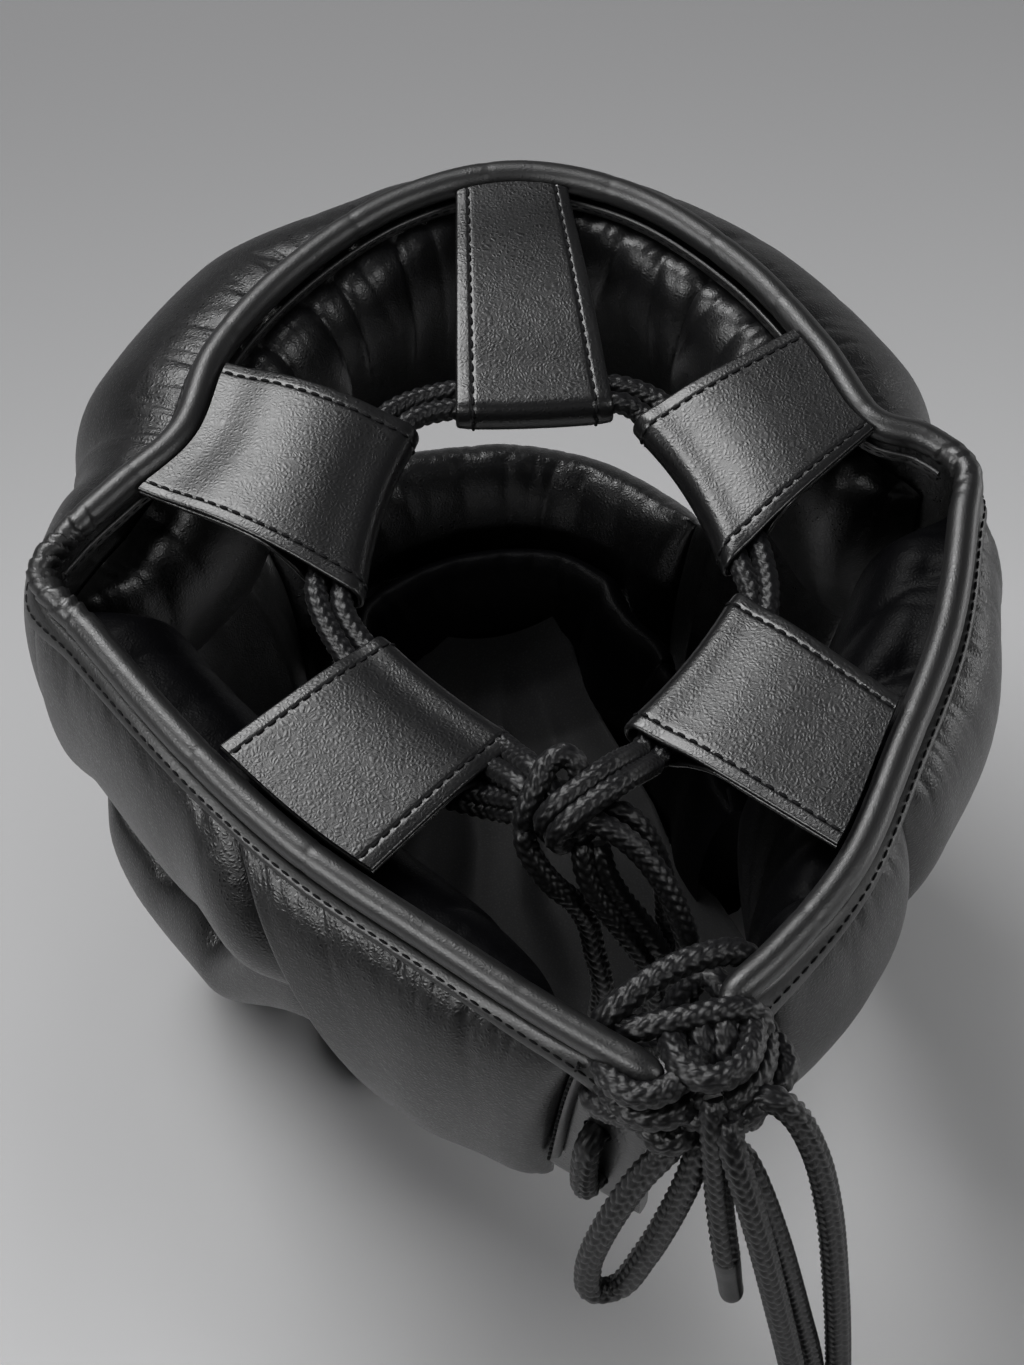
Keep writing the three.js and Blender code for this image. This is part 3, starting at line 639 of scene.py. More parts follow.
def braidHeight(along, around, diameter):  # two families of strands, each over two and under two
    turn = braid["strands"] * around / (2 * math.pi)
    a = turn[None, :] + along[:, None] / (braid["pitch"] * diameter)
    b = turn[None, :] - along[:, None] / (braid["pitch"] * diameter)
    i, j = np.floor(a), np.floor(b)
    k = np.mod(i + j, 4)
    onTop = k < 2
    across = np.where(onTop, a - i, b - j)
    share = np.where(onTop, (k + b - j) / 2, (k - 2 + a - i) / 2)
    share = np.clip(share, 0, 1)
    bow = 1 - braid["dip"] + braid["dip"] * np.sin(math.pi * share) ** braid["ends"]
    return np.sin(math.pi * across) ** braid["round"] * bow


def braidTube(name, points, diameter):
    line, along = evenLine(points, braid["step"])
    side, up = lineFrames(line)
    around = fullTurn(braid["around"])
    crest = braidHeight(along, around, diameter)
    radius = diameter * (0.5 + braid["relief"] * (crest - braid["core"]))
    close = smoothstep(0, braid["sealRun"] * diameter, np.minimum(along, along[-1] - along))
    radius = radius * (braid["sealed"] + (1 - braid["sealed"]) * close)[:, None]  # cut ends draw in a little
    grid = line[:, None] + tubeRing(side, up, around) * radius[..., None]
    piece = loftPiece(name, grid, cordBraid)
    mesh = piece.data
    if signedVolume(grid) < 0:  # the loft turned the ring round
        crest = crest[:, ::-1]
    raised = mesh.attributes.new("crest", "FLOAT", "POINT")
    raised.data.foreach_set("value", crest.ravel().astype(np.float32))
    uv = mesh.uv_layers.new(name="braid")
    corner = np.zeros(len(mesh.loops), np.int32)
    mesh.loops.foreach_get("vertex_index", corner)
    size = len(around)
    flat = np.stack([along[corner // size], (corner % size) * math.pi * diameter / size], -1)
    uv.data.foreach_set("uv", flat.ravel().astype(np.float32))
    return piece, toRow(line)


# Crown loops: leather folded round the crown cord, sewn along both long edges

crownLoop = {"leather": 1.8, "standoff": 4.7, "bore": 2.7, "slack": 1.1, "edge": 0.8, "margin": 4.0,
             "slope": 0.35, "groove": 0.2, "grooveWidth": 0.55, "bend": (55, -90), "step": 1.0, "columns": 22,
             "sewn": 0.56}  # bend in degrees, the sewn share runs from the rim round the fold
cord = {"crown": 5.8, "lace": 6.6}
cordPitch = 6.6
foldRadius = crownLoop["bore"] + crownLoop["slack"] + crownLoop["leather"]
# a loop's outline from the side: share of its length, then what half the leather, start and rise add
loopTop = ((0, 1, 1, 0), (0.1, 1, 0.85, 0.15), (0.3, 0, 0.22, 0.78), (0.5, 0, 0, 1), (0.68, 0, 0, 0.98),
           (0.82, 0, 0, 0.81))
loopUnder = ((0.67, 0, 0, 0.1), (0.56, 0, 0, 0.66), (0.4, 0, 0, 0.61), (0.2, 0, 0.5, 0.22), (0, -1, 1, 0))
crownLoops = {  # rim rows, ends of the fold in plan as the cord runs, hollow, rise, cord height, start
    "crown_loop_left_rear": (2.52, 3.85, (2.0, 52.3), (32.1, 17.7), 1.5, 5.2, 236, 2.8),
    "crown_loop_left_front": (8.08, 9.92, (36.2, 8.2), (16.7, -43.0), 3, 6.4, 238, 0),
    "crown_loop_front": (12.45, 13.5, (7.3, -46.8), (-34.1, -43.8), -0.8, 5, 237, 0.5),
    "crown_loop_right_front": (15.82, 17.12, (-38.2, -42.1), (-54.7, 7.2), 3, 5.4, 234, 2.6),
    "crown_loop_right_rear": (21.7, 22.98, (-56.1, 13.4), (-22.6, 49.0), 2, 5.4, 233, 3.2),
}


def loopPlace(loop, along, across, z):
    rimFrom, rimTo, foldFrom, foldTo, hollow, _, cordHeight, _ = loop
    across = np.asarray(across, float)
    rows = rimFrom + (rimTo - rimFrom) * across
    rimEdge = place(rim.at(rows), np.full(across.shape, -crownLoop["standoff"]), rimHeight)
    ends = np.array([(*foldFrom, cordHeight), (*foldTo, cordHeight)], float)
    foldEdge = ends[0] + (ends[1] - ends[0]) * across[..., None]
    length = np.linalg.norm(foldEdge - rimEdge, axis=-1)
    pull = 1 - hollow / length * 4 * across * (1 - across)
    spot = rimEdge + (foldEdge - rimEdge) * (np.asarray(along, float) * pull)[..., None]
    spot[..., 2] += z
    return spot


def loopSize(loop):
    half = np.array([0.5])
    length = np.linalg.norm(loopPlace(loop, np.ones(1), half, 0) - loopPlace(loop, np.zeros(1), half, 0))
    edges = loopPlace(loop, np.full(2, 0.5), np.array([0.0, 1.0]), 0)
    return length, np.linalg.norm(edges[1] - edges[0])


def loopProfile(length, rise, start):  # middle of the leather: over the top, round the cord and back below
    half = crownLoop["leather"] / 2
    inner, fold = length - foldRadius, foldRadius - half
    top, under = ([(x * length, a * half + b * start + c * rise) for x, a, b, c in outline]
                  for outline in (loopTop, loopUnder))
    turns = np.radians(np.linspace(*crownLoop["bend"], 9)[:-1])
    bend = [(inner + fold * math.cos(t), fold * math.sin(t)) for t in turns]
    bend += [(inner, -fold), (inner - cordPitch, -fold)]
    return evenLine([(x, z, 0) for x, z in top + bend + under], crownLoop["step"])[0][:, :2]


def loopSurface(loop, fromEdge, lift):  # places on a loop: distances in from an edge, heights off its middle
    length, width = loopSize(loop)
    *_, rise, _, start = loop
    profile = loopProfile(length, rise, start)
    ahead = np.gradient(profile, axis=0)
    ahead /= np.linalg.norm(ahead, axis=1, keepdims=True)
    normal = np.stack([-ahead[:, 1], ahead[:, 0]], -1)
    lift = np.broadcast_to(lift, (len(profile), len(fromEdge)))
    flat = profile[:, None] + normal[:, None] * lift[..., None]
    across = np.broadcast_to(fromEdge / width, flat.shape[:2])
    return loopPlace(loop, flat[..., 0] / length, across, flat[..., 1])


def makeCrownLoop(name, loop):
    width = loopSize(loop)[1]
    half, edge, margin = crownLoop["leather"] / 2, crownLoop["edge"], crownLoop["margin"]
    near = np.concatenate([edge * (1 - np.cos(np.linspace(0, math.pi / 2, 5))),
                           np.linspace(edge, margin - 1, 4)[1:], np.linspace(margin - 1, margin + 1, 9)[1:],
                           [margin + 2]])
    middle = np.linspace(margin + 2, width - margin - 2, crownLoop["columns"])[1:-1]
    fromEdge = np.concatenate([near, middle, width - near[::-1]])
    inward = np.minimum(fromEdge, width - fromEdge)
    rounded = half * np.sqrt(np.clip(1 - (1 - np.minimum(inward / edge, 1)) ** 2, 0, 1))
    slope = crownLoop["slope"] * (1 - smoothstep(0, margin, inward))
    groove = crownLoop["groove"] * np.exp(-((inward - margin) / crownLoop["grooveWidth"]) ** 2)
    outside = loopSurface(loop, fromEdge, rounded - slope - groove)
    inside = loopSurface(loop, fromEdge, -rounded)[:, 1:-1][:, ::-1]
    grid = np.concatenate([outside, inside], axis=1)
    return dress(loftPiece(shownName(name), grid, strapLeather), "strap_leather", name)


for loopName, loopRow in crownLoops.items():
    makeCrownLoop(loopName, loopRow)
print("crown loops made")

# Crown cord: two strands through the loops' folds, tied at the back

strandAcross = (-0.06, 0.2, 0.5, 0.8, 1.06)
crownStrands = {  # set back from the fold, first and last points
    "crown_cord_inner": (-0.6, (0.5, 69.5, 248), (-26.2, 56.5, 233.5)),
    "crown_cord_outer": (5.4, (4, 72.2, 244.5), (-29.4, 60, 233.5)),
}
for strandNode, (setBack, start, end) in crownStrands.items():
    route = [np.array(start, float)]
    for loopRow in crownLoops.values():
        along = 1 - (foldRadius + setBack) / loopSize(loopRow)[0]
        across = np.array(strandAcross)
        route += list(loopPlace(loopRow, np.full(across.shape, along), across, 0))
    route[-1] = np.array(end, float)
    strand, _ = braidTube(shownName(strandNode), route, cord["crown"])
    dress(strand, "braided_cord", strandNode)

# Free cords: the tails of the crown knot and the laces

crownTails = {
    "crown_tail_right": [(-4.8, 82, 244), (-10.1, 82.1, 247), (-15.6, 84.9, 246), (-21.1, 88.7, 242),
        (-25.9, 93.5, 236), (-29.4, 98.2, 228), (-31.6, 102, 219), (-32.2, 103, 206), (-33.5, 101, 180),
        (-34, 100, 156)],
    "crown_tail_middle": [(-8.4, 82.1, 238), (-8.7, 85.9, 232), (-11, 89.6, 225), (-15.4, 92.7, 217),
        (-20.2, 95.4, 208), (-24, 97.5, 198), (-25.5, 99, 180), (-23, 100, 150)],
    "crown_tail_left": [(5, 78.8, 242), (5, 80.5, 238), (3, 83.4, 233), (-1.1, 86.2, 226),
        (-6.5, 87.5, 218), (-9.5, 88.5, 209), (-11, 91, 199), (-13, 94, 186), (-12, 95, 162)],
}
laceRuns = {
    "lace_loop_left": [(-24.1, 149.9, 226), (-19.7, 153.3, 220), (-12.6, 155, 207), (-4.7, 157.5, 185),
        (-1, 158.6, 163), (-2.6, 159.5, 150), (-8.2, 159.4, 150), (-14.8, 158.9, 168),
        (-20.9, 157.7, 193), (-24.5, 155.8, 210), (-26.2, 153.3, 221)],
    "lace_loop_right": [(-37.8, 150.2, 234), (-41.9, 151.9, 236), (-46.4, 153.8, 232),
        (-52.4, 156.8, 216), (-57.6, 160.2, 190), (-62.9, 165.4, 146), (-67.3, 169.1, 100),
        (-69.2, 172.1, 70), (-67.1, 172.5, 62), (-62.9, 172, 72), (-59.6, 169.6, 104),
        (-53.2, 167.2, 140), (-44.8, 163.4, 183), (-38.1, 158.7, 210), (-34.7, 156, 219)],
    "lace_end_left": [(-28.3, 151.8, 240), (-28.2, 156, 233), (-29.4, 159.8, 215), (-31.4, 163.3, 193),
        (-33.3, 166.1, 176)],
    "lace_end_right": [(-31.3, 155.7, 236), (-32, 160.5, 230), (-34.9, 165, 217),
        (-39.2, 169.2, 196), (-45.6, 173.7, 160), (-51.3, 176.3, 126), (-55.2, 177.8, 98)],
}
tip = {"rings": 34, "around": 28, "pinch": 0.1, "pinchRun": (3, 13)}
tipStops = (  # distance past the lace's last point, width in lace diameters
    (-3, 0.93), (-2.6, 1.0), (0, 1.02), (4, 0.97), (9, 0.99), (12.6, 1.04), (13.6, 1.0), (14, 0.85))


def laceTip(node, route):  # shrink tube on the end of a lace, pinched at the cut
    before, last = np.array(route[-2], float), np.array(route[-1], float)
    ahead = (last - before) / np.linalg.norm(last - before)
    distance, wide = np.array(tipStops).T
    along = np.linspace(distance[0], distance[-1], tip["rings"])
    line = last + ahead * along[:, None]
    around = fullTurn(tip["around"])
    pinched = 1 - tip["pinch"] * smoothstep(*tip["pinchRun"], along)[:, None] * np.cos(2 * around)[None, :]
    radius = cord["lace"] / 2 * np.interp(along, distance, wide)
    grid = line[:, None] + tubeRing(*lineFrames(line), around) * (radius[:, None] * pinched)[..., None]
    return dress(loftPiece(shownName(node), grid, tipPlastic), "lace_tip", node)


def freeCord(node, route, diameter):
    piece, line = braidTube(shownName(node), route, diameter)
    dress(piece, "braided_cord", node)


for cordNode, cordRoute in crownTails.items():
    freeCord(cordNode, cordRoute, cord["crown"])
for cordNode in ("lace_loop_left", "lace_loop_right"):
    freeCord(cordNode, laceRuns[cordNode], cord["lace"])
for endNode, tipNode in (("lace_end_left", "lace_tip_left"), ("lace_end_right", "lace_tip_right")):
    endTip = laceTip(tipNode, laceRuns[endNode])
    freeCord(endNode, laceRuns[endNode], cord["lace"])
print("free cords made")

# Knots: turns of cord that the tails and laces come out of

crownKnotTurns = (
    # the loop on top, then the two strands from the right
    [(-8.6, 72.5, 244), (-9.3, 70.1, 250), (-6.4, 66.8, 253), (-2.2, 67.9, 252), (1.2, 72.3, 250),
     (4.5, 76.4, 245), (4.9, 78.4, 238.1)],
    [(-26.2, 56.5, 233.5), (-22.4, 62, 241), (-15.7, 70.3, 251), (-8.5, 75.6, 252), (-2.5, 78.6, 250),
     (0.2, 79.7, 245), (-2.4, 80.3, 239)],
    [(-29.4, 60, 233.5), (-25, 66, 241), (-18.1, 74.8, 251), (-10.7, 79.9, 252), (-4.7, 83.2, 250),
     (-1.9, 83.5, 243.7), (-4.5, 82.5, 238)],
    # four strands from the left
    [(9.5, 48, 236), (5.2, 56.9, 240.6), (1, 66.8, 247.7), (-2.3, 72.9, 247), (-3.8, 76.2, 243)],
    [(15.7, 51, 236), (10.4, 59.4, 238.9), (4.8, 69.3, 245.6), (-0.5, 74.5, 244), (-4, 77, 241)],
    [(25, 55.1, 231), (19.3, 59.9, 233), (11.5, 65.1, 235.4), (4, 72.2, 242.5), (-1.2, 74.7, 241)],
    [(26.6, 56.8, 227), (20.9, 61, 229), (11.7, 66.4, 231.4), (4.2, 73.4, 238.4), (-1.2, 75.2, 238)],
    # a bight that hangs behind the right tail
    [(-11, 75.5, 243), (-19, 78.9, 243), (-23.5, 82, 238), (-26.5, 84.7, 230), (-28.2, 87.6, 220),
     (-28.5, 90.5, 206), (-27.5, 94, 199), (-26, 95.5, 205), (-21.8, 92.5, 214), (-17, 89.5, 222),
     (-13.6, 86.5, 230), (-12.2, 82.3, 237)],
    # the heart of the knot
    [(-10, 73, 246), (-6, 77, 243), (-1, 77, 242), (1, 73, 243), (-3, 70, 243), (-8, 71, 241)],
    [(-12, 77, 240), (-8, 80, 238), (-3, 79, 237), (0, 76, 237), (-4, 73, 237)],
)
rearKnotTurns = (
    # two lashings over the gap between the flap tips
    [(-6, 131.2, 228), (-6.8, 128.8, 237), (-12.2, 125.9, 241), (-20.8, 121.6, 243), (-30.6, 118.2, 243),
     (-39.2, 116.4, 240), (-44.1, 117.2, 234), (-45.4, 119.5, 226)],
    [(-7.8, 126.5, 233), (-12.2, 131.3, 237), (-19.3, 132.4, 240), (-28.5, 132, 241), (-37.4, 131, 240),
     (-42.4, 132.1, 236), (-41.6, 135.1, 231), (-37, 134.8, 227)],
    # turns under the left tip
    [(-7.4, 128, 232), (-5.3, 135.4, 236), (-6.5, 143.5, 238), (-11, 148.3, 239), (-16.9, 149, 240),
     (-23.4, 145.5, 241), (-27.1, 139.5, 238)],
    [(-5.9, 134, 227), (-7, 143.8, 230), (-12.1, 150.3, 232), (-19.2, 151.6, 233), (-26.2, 147.5, 233),
     (-29, 142, 232)],
    # bights on the right
    [(-22.2, 132.1, 236), (-21.2, 140.2, 241), (-23.3, 146.3, 243), (-28.2, 149.1, 244),
     (-34.6, 146.7, 243), (-39.2, 139.9, 240), (-40.8, 132.1, 236)],
    [(-23.2, 139.5, 230), (-25.4, 147.4, 234), (-30.5, 151.5, 236), (-36.6, 149, 236),
     (-41.8, 141.6, 234), (-44, 132.6, 230)],
    # strands down the middle
    [(-28.9, 128.1, 237), (-28.3, 135.4, 239), (-28.6, 141.2, 236), (-29, 145, 231)],
    [(-33.4, 128.1, 237), (-33.4, 135.2, 239), (-32.8, 141.2, 236), (-32.5, 146, 231)],
    # the lower knot, where loops and ends leave
    [(-15.8, 143.9, 228), (-14.2, 149.5, 226), (-17.4, 153.9, 224), (-22.2, 153.6, 225),
     (-23.8, 148.5, 227)],
    [(-26.6, 144, 237), (-27.1, 149.5, 236), (-28.3, 151.8, 240)],
    [(-21.6, 144, 230), (-24.6, 148, 225), (-31.6, 150, 223), (-38.6, 148, 227), (-40.6, 144, 234)],
    [(-19.6, 145, 226), (-23.6, 151, 230), (-31.6, 154, 232), (-38.6, 152, 234), (-37.8, 150.2, 234)],
    [(-17.6, 145, 232), (-20.6, 150, 227), (-26.6, 152.5, 221), (-32.6, 151, 219), (-36.6, 146, 222)],
    [(-31.6, 142, 232), (-34.1, 150, 231), (-31.3, 155.7, 236)],
)


def knot(node, turns, diameter):
    name = shownName(node)
    parts = [braidTube(f"{name}{n or ''}", turn, diameter)[0] for n, turn in enumerate(turns)]
    with bpy.context.temp_override(active_object=parts[0], selected_editable_objects=parts):
        bpy.ops.object.join()
    dress(parts[0], "braided_cord", node)


knot("crown_knot", crownKnotTurns, cord["crown"])
knot("rear_knot", rearKnotTurns, cord["lace"])
print("knots made")

# Laced back: two eyelet strips and the lace through them

placket = {"half": 2, "edge": 0.55, "round": 1.2, "drop": 78, "columns": 48, "eyelet": 3.9, "eyeletSides": 24,
           "drops": (16, 42, 68), "laceOut": 5.6, "laceDeep": 13}
laceStart = [(-18.5, 150.5, 231), (-12.5, 150, 230)]
laceEnd = [(-48, 140, 226), (-43.5, 146.5, 228)]
plackets = {"left": (0.06, 0.98, 0.5), "right": (24.17, 24.96, 24.55)}  # rows from, to, and of the eyelets


def placketSpot(side, drop, out):
    return place(rim.at(np.array([plackets[side][2]])), np.array([float(out)]), rimHeight - drop)[0]


def makePlacket(side):
    node = "placket_" + side
    rowFrom, rowTo, eyeletRow = plackets[side]
    rows, _ = rim.evenRows(rowFrom, rowTo, 1.0)
    heights = np.linspace(0, 1, placket["columns"])
    ringOut = np.repeat((1.0, -1.0), placket["columns"])
    ringShare = np.concatenate([heights, heights[::-1]])
    at = rim.at(np.broadcast_to(rows[:, None], (len(rows), len(ringOut))))
    low, high = rimHeight - placket["drop"], rimHeight - cushionSizes["padTop"]
    z = low + (high - low) * ringShare[None, :]
    inEdge = np.minimum(np.minimum(z - low, high - z), placket["round"]) / placket["round"]
    rounded = np.sqrt(np.clip(1 - (1 - inEdge) ** 2, 0, 1))
    thick = placket["half"] * (placket["edge"] + (1 - placket["edge"]) * rounded)
    piece = loftPiece(shownName(node), place(at, ringOut[None, :] * thick, z), strapLeather)
    outward = Vector((*rim.at(np.array([eyeletRow]))["outward"][0], 0))
    for drop in placket["drops"]:
        bpy.ops.mesh.primitive_cylinder_add(vertices=placket["eyeletSides"], radius=placket["eyelet"] * mm,
                                            depth=6 * placket["half"] * mm,
                                            location=toRow(placketSpot(side, drop, 0)))
        hole = bpy.context.active_object
        hole.rotation_mode = "QUATERNION"
        hole.rotation_quaternion = outward.to_track_quat("Z", "Y")
        cut = piece.modifiers.new("eyelet", "BOOLEAN")
        cut.operation, cut.object, cut.solver = "DIFFERENCE", hole, "EXACT"
        with bpy.context.temp_override(active_object=piece, object=piece):
            bpy.ops.object.modifier_apply(modifier=cut.name)
        bpy.data.objects.remove(hole)
    dress(piece, "strap_leather", node)


def rearLaceRoute():
    first, second, third = placket["drops"]
    out, deep = placket["laceOut"], placket["laceDeep"]

    def through(side, drop, outs):
        return [placketSpot(side, drop, o) for o in outs]

    outIn, inOut = (out, 0, -out), (-out, 0, out)
    return (laceStart + through("left", first, outIn) + through("right", second, inOut)
            + through("right", third, outIn) + through("left", third, inOut)
            + through("left", second, (*outIn, -deep)) + through("right", first, (-deep, *inOut)) + laceEnd)


makePlacket("left")
makePlacket("right")
rearLace, _ = braidTube("rearLace", rearLaceRoute(), cord["lace"])
dress(rearLace, "braided_cord", "rear_lace")
print("laced back made")

# Rolled piping round the rim, gathered at the two temple corners, with rounded tips at the back

piping = {"radius": 4.0, "step": 0.7, "around": 28, "tip": 9, "tipRound": 2.4, "tipLeast": 0.004, "seed": 5}
pipingCreases = (30, 0.18, 1.2, 5, 0, 0, 1.4)  # pitch, depth, width, reach, lean, tilt, sharpness
tucks = {"twist": 0.45, "sway": 1.3, "swayRun": 4, "drift": 0.25, "driftRun": 7, "fade": 0.6, "sharp": 1.6,
         "outerShare": 0.35}
gathers = (
    {"row": 6.05, "run": 22, "pitch": 4.3, "depth": 2.3},
    {"row": 18.95, "run": 13, "pitch": 6, "depth": 1.0},
)
welt = {"rows": (0.35, 24.65), "from": 2.4, "to": 6.2, "lift": 0.5, "sunk": 0.6, "edge": 0.35, "columns": 8,
        "stitchRows": (0.4, 24.6), "stitchOut": 5.3, "stitchLift": 0.6}
lip = {"rows": (6.4, 18.6), "out": -4.6, "thick": 1.3, "top": 237, "low": 233.6, "edge": 0.4, "columns": 9,
       "stitchIn": 0.55, "stitchAt": 235.6}
flap = {"rows": (0.52, 0.92), "out": 3.6, "top": 6, "length": 60, "half": (1.7, 1.1), "columns": 60,
        "around": 16, "stitchOff": (1.6, 0.9, 0.2)}


def rimPiping():
    rows, along = rim.evenRows(0, 25, piping["step"])
    at = rim.at(rows)
    line = place(at, np.zeros(len(rows)), rimHeight)
    around = fullTurn(piping["around"])
    outward = np.concatenate([at["outward"], np.zeros((len(rows), 1))], -1)
    ring = tubeRing(outward, np.broadcast_to((0.0, 0.0, 1.0), outward.shape), around)
    height = np.zeros((len(rows), len(around)))
    inner = (1 - np.cos(around)) / 2  # 1 on the side towards the head
    deep = tucks["outerShare"] + (1 - tucks["outerShare"]) * inner
    for gather in gathers:
        off = along[:, None] - np.interp(gather["row"], rows, along)
        sway = around[None, :] + tucks["sway"] * np.sin(off / tucks["swayRun"])
        drift = tucks["drift"] * np.sin(off / tucks["driftRun"])
        phase = off / gather["pitch"] + tucks["twist"] * np.sin(sway) + drift
        fade = np.clip(1 - np.abs(off) / gather["run"], 0, 1) ** tucks["fade"]
        tuck = (1 - phase + np.floor(phase)) ** tucks["sharp"]
        height -= gather["depth"] * fade * tuck * deep[None, :]
    addCreases(height, along, np.zeros_like(height), np.random.default_rng(piping["seed"]), *pipingCreases)
    toTip = np.minimum(np.minimum(along, along[-1] - along) / piping["tip"], 1)
    close = np.sqrt(np.clip(1 - (1 - toTip) ** piping["tipRound"], piping["tipLeast"], 1))
    grid = line[:, None] + ring * ((piping["radius"] + height) * close[:, None])[..., None]
    dress(loftPiece("rimPiping", grid, pipingLeather), "piping_leather", "rim_piping")


def padSkin(at, out):  # height of the outer pads' skin, this far out from the rim line
    half = (at["drop"] - cushionSizes["padTop"]) / 2
    share = np.clip((out - cushionSizes["seamGap"]) / at["outer"], 0, 0.98)
    return rimHeight - cushionSizes["padTop"] - half * (1 - np.sqrt(1 - share ** 2))


def rimWelt():  # the piping's sewn edge on the outer pads
    rows, _ = rim.evenRows(*welt["rows"], 1.0)
    across = np.linspace(0, 1, welt["columns"])
    outs = np.broadcast_to(welt["from"] + (welt["to"] - welt["from"]) * across, (len(rows), len(across)))
    at = rim.at(np.broadcast_to(rows[:, None], outs.shape))
    low = padSkin(at, outs)
    lift = welt["lift"] * (welt["edge"] + (1 - welt["edge"]) * np.sqrt(1 - np.abs(2 * across - 1) ** 3))
    grid = np.concatenate([place(at, outs, low + lift), place(at, outs, low - welt["sunk"])[:, ::-1]], axis=1)
    dress(loftPiece("rimWelt", grid, pipingLeather), "piping_leather")


def rimLip():  # the same edge inside the brow
    rows, _ = rim.evenRows(*lip["rows"], 1.2)
    heights = np.linspace(lip["low"], lip["top"], lip["columns"])
    rounded = np.sqrt(1 - np.abs(np.linspace(-1, 1, lip["columns"])) ** 4)
    half = lip["thick"] / 2 * (lip["edge"] + (1 - lip["edge"]) * rounded)
    outs = np.concatenate([lip["out"] - half, (lip["out"] + half)[::-1]])
    z = np.broadcast_to(np.concatenate([heights, heights[::-1]]), (len(rows), len(outs)))
    at = rim.at(np.broadcast_to(rows[:, None], z.shape))
    grid = place(at, np.broadcast_to(outs, z.shape), z)
    dress(loftPiece("rimLip", grid, pipingLeather), "piping_leather")


def flapWelt():  # raised strip where the left rear pad meets its eyelet strip
    topRow, lowRow = flap["rows"]
    z = rimHeight - flap["top"] - np.linspace(0, 1, flap["columns"]) * flap["length"]
    at = rim.at(topRow + (lowRow - topRow) * slip(rimHeight - z))
    line = place(at, np.full(flap["columns"], flap["out"]), z)
    side, up = lineFrames(line)
    around = fullTurn(flap["around"])
    ring = tubeRing(flap["half"][0] * side, flap["half"][1] * up, around)
    dress(loftPiece("flapWeltLeft", line[:, None] + ring, pipingLeather), "piping_leather")
    return line


rimPiping()
rimWelt()
rimLip()
leftWelt = flapWelt()
print("piping made")

# Stitches: a Geometry Nodes row of thread along a line of points

stitch = {"pitch": 3.6, "length": 2.7, "thread": 0.95, "proud": 0.15, "lineStep": 2.0}


def stitchTree():
    tree = bpy.data.node_groups.new("stitchRow", "GeometryNodeTree")
    tree.interface.new_socket("Line", in_out="INPUT", socket_type="NodeSocketGeometry")
    for label in ("Pitch", "Stitch Length", "Thread"):
        tree.interface.new_socket(label, in_out="INPUT", socket_type="NodeSocketFloat")
    tree.interface.new_socket("Material", in_out="INPUT", socket_type="NodeSocketMaterial")
    tree.interface.new_socket("Stitches", in_out="OUTPUT", socket_type="NodeSocketGeometry")
    given = addNode(tree, "NodeGroupInput")
    curve = addNode(tree, "GeometryNodeMeshToCurve", {"Mesh": given.outputs["Line"]})
    even = addNode(tree, "GeometryNodeResampleCurve",
                   {"Curve": curve.outputs[0], "Length": given.outputs["Pitch"]}, mode="LENGTH")
    ahead = addNode(tree, "GeometryNodeInputTangent")
    turned = addNode(tree, "FunctionNodeAlignRotationToVector", {"Vector": ahead.outputs[0]}, axis="X")
    bead = addNode(tree, "GeometryNodeMeshUVSphere", Segments=8, Rings=5, Radius=0.5)
    thread = given.outputs["Thread"]
    size = addNode(tree, "ShaderNodeCombineXYZ",
                   {"X": given.outputs["Stitch Length"], "Y": thread, "Z": thread})
    rows = addNode(tree, "GeometryNodeInstanceOnPoints", {
        "Points": even.outputs[0], "Instance": bead.outputs[0], "Rotation": turned.outputs[0],
        "Scale": size.outputs[0]})
    real = addNode(tree, "GeometryNodeRealizeInstances", {"Geometry": rows.outputs[0]})
    dressed = addNode(tree, "GeometryNodeSetMaterial",
                      {"Geometry": real.outputs[0], "Material": given.outputs["Material"]})
    smooth = addNode(tree, "GeometryNodeSetShadeSmooth", {"Geometry": dressed.outputs[0]})
    addNode(tree, "NodeGroupOutput", {"Stitches": smooth.outputs[0]})
    return tree


stitchRow = stitchTree()


def sew(name, lines, slot, **changed):  # changed sizes stand in for the stitch's own
    size = {**stitch, **changed}
    verts, edges = [], []
    for line in lines:
        first = len(verts)
        verts += toRow(line).tolist()
        edges += [(first + i, first + i + 1) for i in range(len(line) - 1)]
    mesh = bpy.data.meshes.new(name)
    mesh.from_pydata(verts, edges, [])
    base = addObject(name + "_line", mesh)
    modifier = base.modifiers.new("stitches", "NODES")
    modifier.node_group = stitchRow
    values = {"Pitch": size["pitch"] * mm, "Stitch Length": size["length"] * mm,
              "Thread": size["thread"] * mm, "Material": threadNylon}
    for socket in stitchRow.interface.items_tree:
        if socket.item_type == "SOCKET" and socket.in_out == "INPUT" and socket.name in values:
            modifier[socket.identifier] = values[socket.name]
    base.update_tag()
    seen = base.evaluated_get(bpy.context.evaluated_depsgraph_get())
    sewn = bpy.data.meshes.new_from_object(seen)
    sewn.name = name
    bpy.data.objects.remove(base)
    return dress(addObject(name, sewn), slot)


threadAt = crownLoop["leather"] / 2 - crownLoop["groove"] + stitch["proud"]
loopLines = []
for loopRow in crownLoops.values():
    loopWidth = loopSize(loopRow)[1]
    for fromEdge in (crownLoop["margin"], loopWidth - crownLoop["margin"]):
        surface = loopSurface(loopRow, np.array([fromEdge]), np.array([[threadAt]]))[:, 0]
        loopLines.append(surface[2:int(crownLoop["sewn"] * len(surface))])
sew("crownLoopStitches", loopLines, "strap_leather")

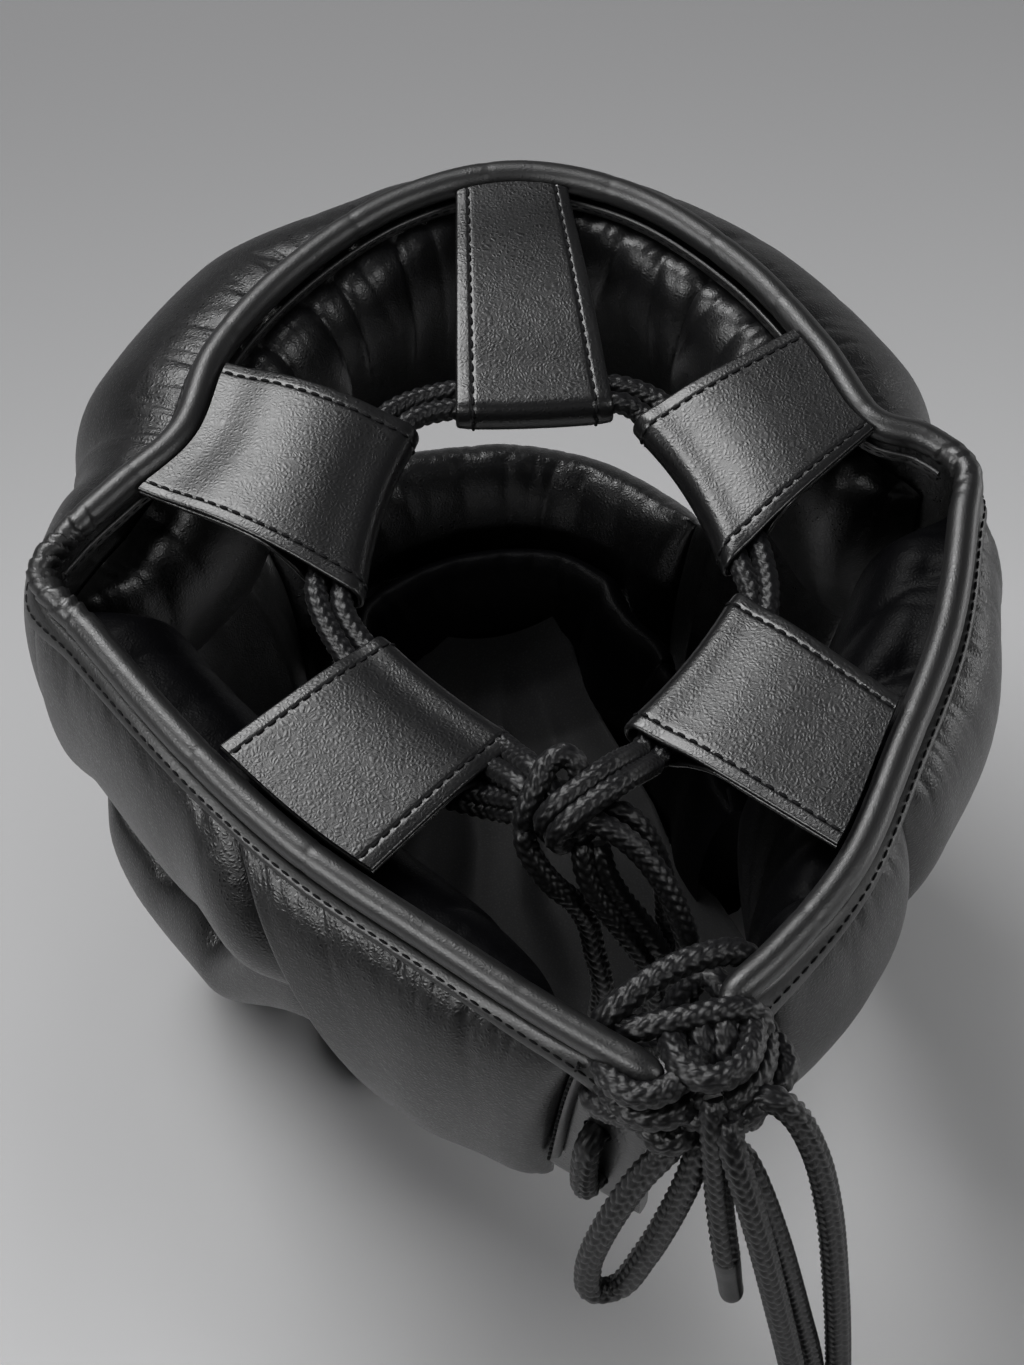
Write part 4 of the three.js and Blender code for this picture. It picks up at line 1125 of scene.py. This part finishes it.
weltAt = rim.at(rim.evenRows(*welt["stitchRows"], stitch["lineStep"])[0])
weltOut = np.full(weltAt["drop"].shape, welt["stitchOut"])
weltLine = place(weltAt, weltOut, padSkin(weltAt, weltOut) + welt["stitchLift"])
lipAt = rim.at(rim.evenRows(*lip["rows"], stitch["lineStep"])[0])
lipLine = place(lipAt, np.full(lipAt["drop"].shape, lip["out"] - lip["stitchIn"]), lip["stitchAt"])
sew("rimStitches", [weltLine, lipLine], "piping_leather", pitch=3.3, thread=0.7)
sew("flapStitches", [leftWelt + np.array(flap["stitchOff"])], "piping_leather", pitch=3.0)
print("stitches made")

# Stage: pale floor, soft boxes and the camera at the photo's angle

# far and near are the floor's two tones, a painted fall of light across the paper
stage = {"far": "#7e7e7f", "near": "#dadadb", "farAt": -0.55, "nearAt": 0.4, "slant": (-0.05, 1, 0),
         "rough": 0.9, "shine": 0.2, "size": 5.0, "world": "#c8cacd", "worldStrength": 0.035,
         "aim": (0, 0, 0.15)}
softBoxes = (  # place and size in metres, watts, and the rays that miss it: some boxes give sheen alone
    ("keyBox", (0.55, -0.94, 1.45), (0.9, 0.82), 20.5, "diffuse"),
    ("topBoxLeft", (0.6, -0.6, 1.6), (0.9, 0.9), 30, "glossy"),
    ("topBoxRight", (-0.5, -0.45, 1.7), (1.1, 1.1), 12, "glossy"),
    ("leftBox", (1.25, 0.42, 1.1), (0.6, 0.5), 9, "diffuse"),
    ("backBox", (0.85, 0.85, 1.3), (0.5, 0.4), 4, "diffuse"),
    ("rightBox", (-1.0, 0.75, 1.2), (0.5, 0.5), 5, "diffuse"),
    ("rightCard", (-1.5, -0.25, 0.16), (1.2, 0.3), 5, "diffuse"),
    ("frontCard", (-0.95, -1.3, 0.2), (1.3, 0.4), 0.8, "diffuse"),
)
view = {"azimuth": 173, "elevation": 57, "place": (47.9, 404.3, 810.3), "focal": 2780, "picture": 1365,
        "sensor": 36, "clip": (0.02, 50)}  # degrees, millimetres, focal length and picture height in pixels


def paperFloor():  # seamless paper, painted darker far off and paler towards the near side: painted light and shade
    material, tree, shader, spot = newMaterial("floor_paper")
    slant = addNode(tree, "ShaderNodeVectorMath", {0: spot, 1: stage["slant"]}, operation="DOT_PRODUCT")
    share = addNode(tree, "ShaderNodeMapRange", {"Value": slant.outputs["Value"]},
                    interpolation_type="SMOOTHSTEP", From_Min=stage["farAt"], From_Max=stage["nearAt"])
    tone = addNode(tree, "ShaderNodeMix", {0: share.outputs[0], 6: linear(stage["far"]),
                                           7: linear(stage["near"])}, data_type="RGBA")
    feed(tree, shader, {"Base Color": tone.outputs[2], "Roughness": stage["rough"],
                        "Specular IOR Level": stage["shine"]})
    return material


def makeStage():
    bpy.ops.mesh.primitive_grid_add(size=stage["size"], x_subdivisions=4, y_subdivisions=4)
    floor = bpy.context.active_object
    floor.name = "floor"
    floor.data.materials.append(paperFloor())
    world = bpy.data.worlds.new("studio")
    world.use_nodes = True
    sky = {"Color": linear(stage["world"]), "Strength": stage["worldStrength"]}
    feed(world.node_tree, world.node_tree.nodes["Background"], sky)
    bpy.context.scene.world = world
    for name, where, size, power, missed in softBoxes:
        light = bpy.data.lights.new(name, "AREA")
        light.shape = "RECTANGLE"
        light.size, light.size_y = size
        light.energy = power
        lamp = addObject(name, light)
        lamp.location = where
        lamp.rotation_euler = (Vector(stage["aim"]) - Vector(where)).to_track_quat("-Z", "Y").to_euler()
        setattr(lamp, "visible_" + missed, False)


def makeCamera():
    lens = bpy.data.cameras.new("camera")
    lens.sensor_width = view["sensor"]
    lens.lens = view["focal"] / view["picture"] * view["sensor"]
    lens.clip_start, lens.clip_end = view["clip"]
    camera = addObject("camera", lens)
    turn, rise = math.radians(view["azimuth"]), math.radians(view["elevation"])
    back = Vector((math.sin(turn) * math.cos(rise), -math.cos(turn) * math.cos(rise), math.sin(rise)))
    camera.location = toRow(view["place"])
    camera.rotation_euler = (-back).to_track_quat("-Z", "Y").to_euler()
    bpy.context.scene.camera = camera


makeStage()
makeCamera()
bpy.context.scene.view_settings.view_transform = "Standard"
print("stage and camera made")
